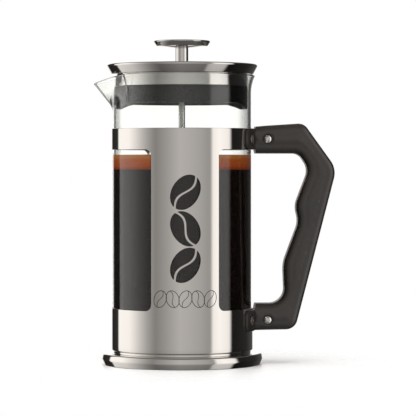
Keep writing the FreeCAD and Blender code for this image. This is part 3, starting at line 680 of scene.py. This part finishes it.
def sleeve_piece():
    """Steel sleeve: cut while flat (windows, beans), then rolled and joined at its back seam.

    A rounded top edge and a turned-in floor flange are carried round the same columns."""
    girth = math.pi * sleeve_r
    half_strip = strip_half * sleeve_r
    bend_r = 1.4
    edge_r = 0.3
    low = sleeve_low[2] + bend_r
    high = sleeve_high[2] - edge_r
    inside_r = sleeve_r - sheet
    across = np.linspace(-girth, girth, sleeve_columns + 1)
    up = np.linspace(low, high, 41)[1:-1]
    level = np.ones(len(across))
    upright = np.ones(len(up))
    rim = np.vstack([
        np.stack([across, low * level], 1), np.stack([girth * upright, up], 1),
        np.stack([across[::-1], high * level], 1), np.stack([-girth * upright, up[::-1]], 1),
    ])
    window = box_loop((half_strip, window_low), (girth - half_strip, window_high), 4.5, 2.6)
    holes = [window, box_loop((half_strip - girth, window_low), (-half_strip, window_high), 4.5, 2.6)]
    bean_middle = 0.5 * (window_low + window_high) + 1.2
    bean_pitch = 25.2
    for index, tilt in enumerate((32.0, -32.0, 32.0)):
        holes += bean_lobes(0.0, bean_middle + bean_pitch * (index - 1), tilt)
    u, z = np.meshgrid(across[1:-1], np.linspace(low, high, 54)[1:-1])
    spare = np.stack([u.ravel(), z.ravel()], 1)
    parts = [rolled_plate(rim, holes, spare, sleeve_r, inside_r, 0.12, open_rim=True)]
    turn = np.radians(np.linspace(0.0, 90.0, 9))
    fall = np.stack([np.cos(turn), -np.sin(turn)], 1)
    centre = np.array([sleeve_r - bend_r, low])
    flange_r = inside_r - 9.0
    bottom = sleeve_low[2]
    flange = [[flange_r, bottom], [flange_r, bottom + sheet]]
    bend = np.vstack([centre + bend_r * fall, flange, (centre + (bend_r - sheet) * fall)[::-1]])
    parts.append(ring_part(bend, [(8, -1.0), (11, 1.0)]))
    arc = np.stack([np.cos(turn), np.sin(turn)], 1)
    outer_edge = np.array([sleeve_r - edge_r, high]) + edge_r * arc
    inner_edge = np.array([inside_r + edge_r, high]) + edge_r * arc * [-1.0, 1.0]
    parts.append(ring_part(np.vstack([inner_edge, outer_edge[::-1]]), []))
    total = 0
    faces = []
    for points, part_faces, _ in parts:
        faces += [tuple(int(point) + total for point in face) for face in part_faces]
        total += len(points)
    joined = weld(np.vstack([part[0] for part in parts]), faces, np.vstack([part[2] for part in parts]))
    return make_mesh("sleeve_sheet", *joined)


# ---------------------------------------------------------------- handle and shoes

def middle_z(name):
    """Height of a shoe's middle."""
    low, high = shoe_boxes[name]
    return 0.5 * (low[2] + high[2])


def handle_outline():
    """Side outline in mm (x, z): blocks behind the shoes, a sloping back and four finger waves."""
    low = handle_low[2] - 0.02
    block = 19.2
    block_low = middle_z("lower_shoe") - 0.5 * block + 2.1
    top = middle_z("upper_shoe") + 0.5 * block - 0.6
    out = shoe_r
    span = top - block_low
    root = shoe_r - 3.0
    inner_low = block_low + block
    inner_high = top - block
    return rounded([
        (root, low), (out + 28.0, low + 0.5, 8.5), (out + 57.6, top - 30.0, 15.0),
        (out + 34.2, top + 2.4, 8.0), (root, top), (root, inner_high), (out + 30.7, inner_high, 8.0),
        (out + 37.9, block_low + 0.7910 * span, 11.0), (out + 28.0, block_low + 0.6120 * span, 16.0),
        (out + 30.6, block_low + 0.5320 * span, 16.0), (out + 19.6, block_low + 0.3280 * span, 25.0),
        (out + 20.7, inner_low, 10.4), (root, inner_low),
    ], arc_step=4.0)


def handle_piece():
    """Moulded handle: the outline shrinks by 6 (1 - cos t) as the section goes out by 4.6 sin t.

    Near the shoes x runs on to their radius instead, so that both ends seat on them. Two round
    recesses for the cross screws are then cut into each side."""
    outline = counterclockwise(dense(handle_outline(), 2.5))
    half = 0.5 * (handle_high[1] - handle_low[1])
    edge = 6.0
    turn = np.radians(np.linspace(0.0, 90.0, 10))
    inward = edge * (1.0 - np.cos(turn))
    rise = 1.4
    reach = 9.0
    depth = half - edge + (edge - rise) * np.sin(turn)
    rows = [(-y, inset) for y, inset in zip(depth[::-1], inward[::-1])] + list(zip(depth, inward))
    root = outline[:, 0].min()
    straight = shoe_r + 8.0
    share = (outline[:, 0] - root) / (straight - root)
    at_end = share < 0.001
    upper = outline[:, 1] > outline[:, 1].mean()
    layers = []
    for y, inset in rows:
        loop = shifted(outline, -inset)
        seat = math.sqrt((shoe_r + 0.1) ** 2 - y * y)
        x = np.where(share < 1.0, seat + share * (straight - seat), loop[:, 0])
        z = loop[:, 1]
        for end in (at_end & upper, at_end & ~upper):
            low = outline[end, 1].min()
            high = outline[end, 1].max()
            shrink = 1.0 - 2.0 * inset / (high - low)
            z = np.where(end, 0.5 * (low + high) + (outline[:, 1] - 0.5 * (low + high)) * shrink, z)
        layers.append(np.stack([x, np.full(len(x), y), z], 1))
    grid = np.array(layers)
    ids = np.arange(grid.shape[0] * grid.shape[1]).reshape(grid.shape[:2])
    faces = [face[::-1] for face in grid_faces(np.column_stack([ids, ids[:, 0]]))]
    points = [grid.reshape(-1, 3)]
    total = len(points[0])
    far = outline.max(0)
    step = 1.6
    across = np.arange(root, far[0], step)
    spare = np.stack(np.meshgrid(across, np.arange(outline[:, 1].min(), far[1], step)), -1)
    for layer, row, side in ((grid[0], ids[0], -1), (grid[-1], ids[-1], 1)):
        loop = layer[:, [0, 2]]
        flat, triangles = fill(loop, [], spare.reshape(-1, 2), 0.9)
        crown = flat[len(loop):]
        away = np.linalg.norm(crown[:, None] - loop[None], axis=2).min(1)
        y = side * (half - rise + rise * (1.0 - (1.0 - np.minimum(away / reach, 1.0)) ** 2))
        points.append(np.stack([crown[:, 0], y, crown[:, 1]], 1))
        numbers = np.concatenate([row, total + np.arange(len(crown))])
        faces += [tuple(numbers[face[::-side]]) for face in triangles]
        total += len(crown)
    grip = make_mesh("handle_grip", np.vstack(points), faces)
    tools = [recess_tool(x, z, side, half - 2.6) for x, z in screw_centres() for side in (-1.0, 1.0)]
    return carve(grip, tools, 40.0)


def recess_tool(x, z, side, depth):
    """Plug that cuts a screw recess: a turned profile laid along Y, from depth outwards."""
    recess_r = 4.5
    beyond = depth + 8.0
    corners = [(0.0, depth), (recess_r, depth), (recess_r, beyond), (0.0, beyond)]
    return skin("recess_tool", laid_on_side(rounded(corners, closed=False), x, z, side), sharp=30.0)


def laid_on_side(profile, x, z, side):
    """Turned profile (r, y) laid along Y about (x, z): points (x + r cos t, side y, z + r sin t)."""
    grid = turn_profile(profile, 64)
    return np.stack([x + grid[..., 0], side * grid[..., 2], z + grid[..., 1]], -1)


def carve(piece, tools, sharp):
    """Cuts the tools out of a piece, keeps the result as its mesh and clears the tools away."""
    for tool in tools:
        cut = piece.modifiers.new("cut", "BOOLEAN")
        cut.operation = "DIFFERENCE"
        cut.solver = "EXACT"
        cut.object = tool
    graph = bpy.context.evaluated_depsgraph_get()
    carved = bpy.data.meshes.new_from_object(piece.evaluated_get(graph))
    piece.modifiers.clear()
    piece.data = carved
    carved.shade_smooth()
    carved.set_sharp_from_angle(angle=math.radians(sharp))
    for tool in tools:
        bpy.data.objects.remove(tool)
    return piece


def gather(name, pieces):
    """One object from several, which are cleared away."""
    whole = bmesh.new()
    for piece in pieces:
        whole.from_mesh(piece.data)
        bpy.data.objects.remove(piece)
    mesh = bpy.data.meshes.new(name)
    whole.to_mesh(mesh)
    whole.free()
    made = bpy.data.objects.new(name, mesh)
    bpy.context.scene.collection.objects.link(made)
    return made


def fasteners(name, side, shank_r, shank_end):
    """Pair of slotted heads in the handle's recesses: turned profiles laid along Y, side -1 at the front.

    Each head is a dome of about 4.2 mm radius, with a slot 0.9 mm wide and 1 mm deep across it."""
    seat = 0.5 * (handle_high[1] - handle_low[1]) - 2.58
    slot_half = 0.45
    slot_reach = 5.0
    slot_depth = 1.0
    profile = rounded([
        (0.0, shank_end), (shank_r, shank_end), (shank_r, seat), (head_r, seat), (head_r, seat + 0.1),
        (2.6, seat + 1.1, 1.5), (1.4, seat + 1.76, 2.0), (0.0, seat + 2.0),
    ], closed=False)
    pieces = []
    for (x, z), lean in zip(screw_centres(), (24.0, -38.0)):
        head = skin(name, laid_on_side(profile, x, z, side))
        turn = math.radians(lean)
        along = np.array([math.sin(turn), 0.0, math.cos(turn)])
        across = np.array([math.cos(turn), 0.0, -math.sin(turn)])
        centre = np.array([x, side * (seat + 2.0), z])
        deep = np.array([0.0, side, 0.0])
        box = [centre + a * slot_reach * along + b * slot_half * across + c * slot_depth * deep
               for a in (-1, 1) for b in (-1, 1) for c in (-1, 1)]
        sides = [(0, 1, 3, 2), (4, 6, 7, 5), (0, 4, 5, 1), (2, 3, 7, 6), (0, 2, 6, 4), (1, 5, 7, 3)]
        tool = make_mesh("slot_tool", box, sides)
        pieces.append(carve(head, [tool], 32.0))
    return gather(name, pieces)


def screw_centres():
    """Side-view centres (x, z) of the cross screws: from the boxes of the screw pair."""
    x = screws_low[0] + head_r
    return [(x, screws_high[2] - head_r), (x, screws_low[2] + head_r)]


def shoe_piece(name):
    """Shoe: a rounded plate rolled onto the sleeve, with two recessed screw seats."""
    low, high = shoe_boxes[name]
    half = math.radians(31.0) * shoe_r
    quarter = 0.5 * math.pi * shoe_r
    corner_r = 5.0
    seat_r = 4.75
    seat_depth = 0.6
    outer = box_loop((quarter - half, low[2]), (quarter + half, high[2]), corner_r, 2.0)
    middle = middle_z(name)
    seats = [quarter + math.radians(angle) * shoe_r for angle in (-22.0, 22.0)]
    holes = [circle((u, middle), seat_r) for u in seats]
    across = np.linspace(quarter - half, quarter + half, 33)[1:-1]
    u, z = np.meshgrid(across, np.linspace(low[2], high[2], 6)[1:-1])
    spare = np.stack([u.ravel(), z.ravel()], 1)
    points, faces, normals = rolled_plate(outer, holes, spare, shoe_r, sleeve_r + 0.05, 0.3)
    for centre in seats:
        rings = np.linspace(0.0, seat_r + 0.15, 6)
        flat = np.stack([circle((centre, middle), radius, 32) for radius in rings])
        floor = roll(flat.reshape(-1, 2), shoe_r - seat_depth, shoe_r)
        ids = np.arange(len(floor)).reshape(6, 32) + len(points)
        ids[0] = ids[0, 0]
        outward = floor * [1.0, 1.0, 0.0]
        outward /= np.linalg.norm(outward, axis=1, keepdims=True)
        points = np.vstack([points, floor])
        normals = np.vstack([normals, outward])
        faces += [tuple(reversed(face)) for face in grid_faces(np.column_stack([ids, ids[:, 0]]))]
    return make_mesh(name + "_cover", points, faces, normals)


# ---------------------------------------------------------------- beaker and coffee

def beaker_radius(angle, z, inset):
    """Beaker's radius at an angle from the spout's middle: a tube that flares as an arc near the rim.

    The spout is a V: a nose of 4 mm radius and two flat flanks, each tangent to the nose and reaching the
    tube 36 degrees away. It grows straight out with height, and the larger of the two radii is taken,
    with a soft join h^2 / (4 k) where they differ by less than k."""
    bulge = math.hypot(flare_out, flare_height)
    bow = 0.5 * bulge / math.sin(math.atan2(flare_out, flare_height))
    rise = np.clip(z - (glass_top - flare_height), 0.0, flare_height + 1.0)
    tube = glass_r - inset + bow - np.sqrt(bow ** 2 - rise ** 2)
    soft = 2.5
    nose_r = 4.0
    reach = np.maximum(spout_out * (z - glass_top + 23.0) / 17.4, -nose_r)
    nose = nose_r - 0.5 * inset
    middle = glass_r - inset + reach - nose
    side_angle = math.radians(36.0)
    grown = np.clip(reach / nose_r, 0.0, 1.0)
    side_r = tube - soft * (1.0 - grown * grown * (3.0 - 2.0 * grown))
    side_x = side_r * math.cos(side_angle)
    side_y = side_r * math.sin(side_angle)
    lean = np.arctan2(side_y, side_x - middle) - np.arccos(nose / np.hypot(side_x - middle, side_y))
    touch_x = middle + nose * np.cos(lean)
    touch_y = nose * np.sin(lean)
    run_x = touch_x - side_x
    run_y = touch_y - side_y
    off = np.abs(angle)
    near = np.minimum(off, side_angle)
    flank = (side_x * run_y - side_y * run_x) / (np.cos(near) * run_y - np.sin(near) * run_x)
    bowed = middle * np.cos(near) + np.sqrt(np.maximum(nose ** 2 - (middle * np.sin(near)) ** 2, 0.0))
    spout = np.where(off < np.arctan2(touch_y, touch_x), bowed, flank) - 40.0 * (off - near)
    return np.maximum(tube, spout) + np.maximum(soft - np.abs(tube - spout), 0.0) ** 2 / (4.0 * soft)


def beaker_piece():
    """Blown beaker: rows run up the outside, over the fire-polished lip and down the inside.

    The lip is level and falls by 5.6 s^1.5 over the last 24 mm towards the spout's tip."""
    around = 360
    dip = 5.6
    dip_length = 24.0
    angle = -math.pi + np.arange(around) * 2.0 * math.pi / around
    top = np.full(around, glass_top)
    for _ in range(4):
        reach = beaker_radius(angle, top, 0.0) * np.cos(angle)
        share = np.clip((reach - (glass_r + spout_out - dip_length)) / dip_length, 0.0, 1.0)
        top = glass_top - dip * share ** 1.5
    bottom = glass_low[2]
    lip = 0.5 * glass_wall
    levels = np.concatenate([np.linspace(0.0, 0.86, 10)[1:-1], np.linspace(0.86, 1.0, 34)])

    def side(inset, floor_z, corner):
        start = floor_z + corner
        rows = []
        for share in levels:
            z = start + share * (top - lip - start)
            rows.append(np.stack([beaker_radius(angle, z, inset), z]))
        return rows

    def base(inset, floor_z, corner):
        turn = np.radians(np.linspace(0.0, 90.0, 12))
        radius = np.concatenate([[0.0], np.linspace(0.0, 1.0, 7)[1:-1] * (glass_r - inset - corner),
                                 glass_r - inset - corner + corner * np.sin(turn)])
        height = np.concatenate([np.full(6, floor_z), floor_z + corner - corner * np.cos(turn)])
        return [np.stack([np.full(around, r), np.full(around, z)]) for r, z in zip(radius, height)]

    outer_args = (0.0, bottom, glass_corner)
    inner_args = (glass_wall, bottom + glass_floor, glass_corner - glass_wall)
    outside = base(*outer_args) + side(*outer_args)
    inside_rows = base(*inner_args) + side(*inner_args)
    outer_r = outside[-1][0]
    inner = inside_rows[-1][0]
    over = []
    for turn in np.radians(np.linspace(0.0, 180.0, 11))[1:-1]:
        radius = 0.5 * (outer_r + inner) + 0.5 * (outer_r - inner) * math.cos(turn)
        over.append(np.stack([radius, top - lip + lip * math.sin(turn)]))
    rows = np.array(outside + over + inside_rows[::-1])
    grid = np.stack([-rows[:, 0] * np.cos(angle), rows[:, 0] * np.sin(angle), rows[:, 1]], -1)
    return skin("beaker_glass", grid, sharp=50.0)


def liquid_piece(name, low, high, meniscus, round_bottom):
    """Body of liquid that wets the beaker: its top edge climbs the wall by a small meniscus."""
    wet_r = inner_r + 0.1
    corner_r = glass_corner - glass_wall if round_bottom else 0.0
    corners = [
        (0.0, low), (wet_r, low, corner_r), (wet_r, high + meniscus),
        (wet_r - 0.3, high + meniscus), (wet_r - 2.2, high, 2.5), (0.0, high),
    ]
    return lathe(name, corners, solid=True, sharp=60.0)


# ---------------------------------------------------------------- lid and plunger

def cap_piece():
    """Pressed lid: a skirt that flares upwards to a rounded edge, a low rim and a dish inside it."""
    base = cap_low[2]
    top = base + 7.3
    rim = glass_r + 1.4
    wide = glass_r + 4.5
    flange = inner_r - 0.55
    dish = top - 3.8
    dish_r = 41.5
    rim_r = 46.5
    hole_r = bush_r + 0.05
    skin_mm = 0.8
    return lathe("lid_cover", [
        (flange, base), (rim, base, 0.5), (wide, base + 5.8, 1.2), (wide - 0.4, top, 1.2),
        (rim_r, top - 0.6, 3.0), (dish_r, dish, 3.0), (hole_r, dish), (hole_r, dish - skin_mm),
        (dish_r + 0.4, dish - skin_mm, 3.0), (rim_r + 0.2, top - 0.6 - skin_mm, 3.0),
        (wide - 1.2, top - 1.4 * skin_mm), (wide - skin_mm, base + 5.8),
        (rim - 0.9 * skin_mm, base + skin_mm), (flange, base + skin_mm),
    ], around=256)


def band_piece():
    """Lid's inner band: a rolled steel strip turned in at its top and bottom, with softened bends."""
    low, high, wide = span("lid_band")
    wall = 0.6
    return lathe("lid_inner_band", [
        (wide - 7.0, low), (wide, low, 0.6), (wide, high, 0.6), (wide - 6.2, high), (wide - 6.2, high - wall),
        (wide - wall, high - wall), (wide - wall, low + wall), (wide - 7.0, low + wall),
    ], around=192)


def bush_piece():
    """Turned guide bush: a long sleeve for the rod with a rounded flange on the dish of the lid."""
    low, high, wide = span("guide_bush")
    under = high - 1.2
    bore = rod_r + 0.05
    return lathe("guide_sleeve", [
        (bore, low, 0.1), (bush_r, low, 0.4), (bush_r, under), (wide, under, 0.2), (wide, high, 0.6),
        (bore, high, 0.2),
    ], around=96)


def knob_piece():
    """Turned knob: a shallow domed underside, a flared side, a thin raised lip and a dished top."""
    low, high, wide = span("knob_disc")
    wide += 0.22
    side = low + 1.3
    dish = high - 0.7
    return lathe("knob_plate", [
        (0.0, low), (6.5, low, 6.0), (wide - 2.1, side, 0.9), (wide, high - 0.6, 0.8),
        (wide - 0.6, high, 0.3), (wide - 3.0, high, 1.5), (10.0, dish, 6.0), (0.0, dish),
    ], solid=True)


def stem_piece():
    """Tube round the rod: straight, with softened ends that meet the guide bush and the knob."""
    low, high, wide = span("knob_stem")
    bore = rod_r + 0.02
    return lathe("knob_neck", [
        (bore, low), (wide, low, 0.4), (wide, high, 0.15), (bore, high),
    ], around=96)


def rod_piece():
    """Drawn rod: a straight bar whose ends are chamfered and turned down."""
    low, high, wide = span("plunger_rod")
    end_r = wide - 0.4
    return lathe("drawn_rod", [
        (0.0, low), (end_r, low), (wide, low + 0.5), (wide, high - 0.5), (end_r, high), (0.0, high),
    ], around=48, solid=True)


def collar_piece():
    """Pressed collar on the rod: a turned ring with rounded rims."""
    low, high, wide = span("rod_collar")
    bore = rod_r - 0.1
    return lathe("stop_collar", [
        (bore, low), (wide, low, 0.6), (wide, high, 0.9), (bore, high, 0.3),
    ], around=64)


def screen_piece():
    """Mesh screen: a flat disc of cloth whose border stands up as a soft rim against the beaker."""
    low, high, wide = span("mesh_screen")
    hole_r = 3.2
    upper = low + 0.36
    return lathe("woven_screen", [
        (hole_r, low), (wide - 3.0, low, 1.6), (wide, high - 0.5, 1.2), (wide - 0.4, high),
        (wide - 3.3, upper, 1.4), (hole_r, upper),
    ])


def spring_piece():
    """Edge spring: wire of 0.35 mm radius wound as a helix of 1.85 mm mean radius on a ring.

    Along the ring at angle t the wire's centre is at R + a cos(n t) out and a sin(n t) up, n = 90 turns."""
    wire = 0.35
    coil = 0.5 * (spring_high[2] - spring_low[2]) - wire
    ring_r = spring_high[0] - coil - wire
    middle = 0.5 * (spring_low[2] + spring_high[2])
    turns = 90
    count = turns * 14
    t = np.arange(count) * 2.0 * math.pi / count
    ring = np.stack([np.cos(t), np.sin(t), 0.0 * t], 1)
    up = np.array([0.0, 0.0, 1.0])
    swing = turns * t
    centre = ring * (ring_r + coil * np.cos(swing))[:, None]
    centre += up * (middle + coil * np.sin(swing))[:, None]
    out = ring * np.cos(swing)[:, None] + up * np.sin(swing)[:, None]
    path = np.roll(centre, -1, 0) - np.roll(centre, 1, 0)
    path /= np.linalg.norm(path, axis=1, keepdims=True)
    side = np.cross(path, out)
    angle = (np.arange(8) * 2.0 * math.pi / 8)[:, None]
    grid = centre[:, None] + wire * (out[:, None] * np.cos(angle) + side[:, None] * np.sin(angle))
    return skin("edge_coil", grid, loop_rows=True, sharp=80.0)


# ---------------------------------------------------------------- build

mirror = mirror_steel()
plated = chrome()
satin = satin_steel()
galvanised = zinc()
nylon = handle_plastic()
moulding = insert_plastic()
clear_glass = beaker_glass()
cloth = woven_mesh()
soft_ring = silicone()
rubber = pad_rubber()

wear(foot_piece(), mirror, "frame", "mirror_steel", "base_foot")
wear(pad_piece(), rubber, "frame", "pad_rubber", "base_pad")
wear(sleeve_piece(), mirror, "frame", "mirror_steel", "sleeve")
wear(etched_row(), etched_steel(), "frame", "mirror_steel")
wear(handle_piece(), nylon, "frame", "handle_plastic", "handle")
for shoe in shoe_boxes:
    wear(shoe_piece(shoe), nylon, "frame", "handle_plastic", shoe)
wear(fasteners("cross_screws", -1.0, 2.0, -4.4), mirror, "frame", "chromed_steel", "handle_screws")
wear(fasteners("barrel_nuts", 1.0, 3.0, 2.6), mirror, "frame", "chromed_steel", "handle_nuts")
wear(beaker_piece(), clear_glass, "glass", "borosilicate", "glass_beaker")
brew = liquid_piece("coffee_fill", glass_low[2] + glass_floor, foam_low, 0.0, True)
foam = liquid_piece("crema_head", foam_low, foam_high, 1.3, False)
wear(brew, coffee(), "glass", "borosilicate")
wear(foam, crema(), "glass", "borosilicate")
wear(cap_piece(), mirror, "lid", "mirror_steel", "lid_cap")
wear(band_piece(), mirror, "lid", "mirror_steel", "lid_band")
wear(bush_piece(), plated, "lid_bush", "chromed_steel", "guide_bush")
wear(rod_piece(), satin, "plunger", "chromed_steel", "plunger_rod")
wear(stem_piece(), mirror, "plunger", "chromed_steel", "knob_stem")
wear(knob_piece(), plated, "plunger", "chromed_steel", "knob_disc")
wear(collar_piece(), satin, "plunger", "chromed_steel", "rod_collar")
wear(screen_piece(), cloth, "plunger", "steel_mesh", "mesh_screen")
wear(spring_piece(), satin, "plunger", "spring_steel", "edge_spring")

finishes = {
    "glass_cushion": soft_ring, "upper_bracket": galvanised, "lower_bracket": galvanised,
    "shoe_screws": satin, "bush_nut": plated, "strainer_insert": moulding, "threaded_boss": satin,
    "cross_plate": satin, "top_plate": satin,
}
for name, material in finishes.items():
    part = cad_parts[name]
    part.data.materials.clear()
    part.data.materials.append(material)


# ---------------------------------------------------------------- floor, light and camera

def floor_piece():
    """Flat round table top: rings of radius r out to 0.9 m, a little below the pad."""
    radius = np.concatenate([[0.0], np.linspace(20.0, 900.0, 12)])
    grid = turn_profile(np.stack([radius, np.full(len(radius), -0.15)], 1), 96)
    ids = np.arange(grid.shape[0] * grid.shape[1]).reshape(grid.shape[:2])
    ids = np.column_stack([ids, ids[:, 0]])
    flat = make_mesh("table_top", grid.reshape(-1, 3), [face[::-1] for face in grid_faces(ids)])
    flat.data.materials.append(pale_floor())
    flat.visible_glossy = False
    return flat


def studio():
    """White backdrop for the eye, and round it a ring of soft boxes and dark flags for light and reflections.

    The ring's brightness is a ramp over the direction's azimuth, 0 at -Y and growing towards +X."""
    world = bpy.data.worlds.new("studio")
    bpy.context.scene.world = world
    world.use_nodes = True
    tree = world.node_tree
    tree.nodes.clear()
    stops = [(-180, 1.2), (-162, 1.2), (-157, 0.02), (-130, 0.04), (-126, 1.38), (-98, 1.36), (-86, 1.1),
             (-73, 0.78), (-62, 0.54), (-51, 0.374), (-45.5, 0.318), (-30, 0.43), (-6, 0.63), (9, 0.59),
             (28, 0.516), (39, 0.44), (44, 0.44), (49, 1.25), (60, 1.4), (74, 1.3), (80, 1.2), (86, 0.014),
             (126, 0.03), (139, 0.058), (160, 0.1), (172, 1.2), (180, 1.2)]
    place = node(world, "ShaderNodeTexCoord")
    split = node(world, "ShaderNodeSeparateXYZ", Vector=place.outputs["Generated"])
    turn = calc(world, "ARCTAN2", split.outputs["X"], calc(world, "MULTIPLY", split.outputs["Y"], -1.0))
    share = node(world, "ShaderNodeMapRange", Value=turn, From_Min=-math.pi, From_Max=math.pi)
    curve = node(world, "ShaderNodeFloatCurve", Value=share.outputs[0])
    line = curve.mapping.curves[0]
    peak = 1.5
    while len(line.points) < len(stops):
        line.points.new(0.5, 0.5)
    for point, (degrees, value) in zip(line.points, stops):
        point.location = ((degrees + 180.0) / 360.0, value / peak)
        point.handle_type = "VECTOR"
    curve.mapping.update()
    above = node(world, "ShaderNodeMapRange", Value=split.outputs["Z"], From_Min=0.45, From_Max=0.8)
    below = node(world, "ShaderNodeMapRange", Value=split.outputs["Z"], From_Min=-0.9, From_Max=-0.05,
                 To_Min=0.3, To_Max=1.0)
    ring = calc(world, "MULTIPLY", calc(world, "MULTIPLY", curve.outputs[0], peak), below.outputs[0])
    overhead = node(world, "ShaderNodeMix", {"data_type": "FLOAT"}, Factor=above.outputs[0], A=ring, B=0.22)
    path = node(world, "ShaderNodeLightPath")
    seen = node(world, "ShaderNodeMix", {"data_type": "FLOAT"}, Factor=path.outputs["Is Camera Ray"],
                A=overhead.outputs[0], B=1.0)
    tint = node(world, "ShaderNodeMix", {"data_type": "RGBA"}, i0=path.outputs["Is Camera Ray"],
                i6=(1.0, 0.972, 0.945, 1.0), i7=(1.0, 1.0, 1.0, 1.0))
    glow = node(world, "ShaderNodeBackground", Color=tint.outputs[2], Strength=seen.outputs[0])
    out = node(world, "ShaderNodeOutputWorld")
    tree.links.new(glow.outputs[0], out.inputs["Surface"])


def lamp(name, place, aim, size, power):
    """Square soft box at a place in metres, facing a point."""
    light = bpy.data.lights.new(name, "AREA")
    light.size = size
    light.energy = power
    holder = bpy.data.objects.new(name, light)
    holder.location = place
    holder.rotation_euler = (Vector(aim) - Vector(place)).to_track_quat("-Z", "Y").to_euler()
    bpy.context.scene.collection.objects.link(holder)
    return holder


floor_piece()
studio()
top_lamp = lamp("top_softbox", (-0.15, -0.25, 1.3), (0.0, 0.0, 0.1), 1.1, 22.0)
top_lamp.visible_glossy = False

lens = bpy.data.cameras.new("camera")
lens.sensor_width = 36.0
lens.lens = 200.8
lens.clip_start = 0.05
camera = bpy.data.objects.new("camera", lens)
camera.location = (-0.0806, -1.648, 0.139)
aim = Vector((0.01854, -0.0009, 0.1107))
camera.rotation_euler = (aim - camera.location).to_track_quat("-Z", "Y").to_euler()
bpy.context.scene.collection.objects.link(camera)
bpy.context.scene.camera = camera
bpy.context.scene.view_settings.view_transform = "Standard"
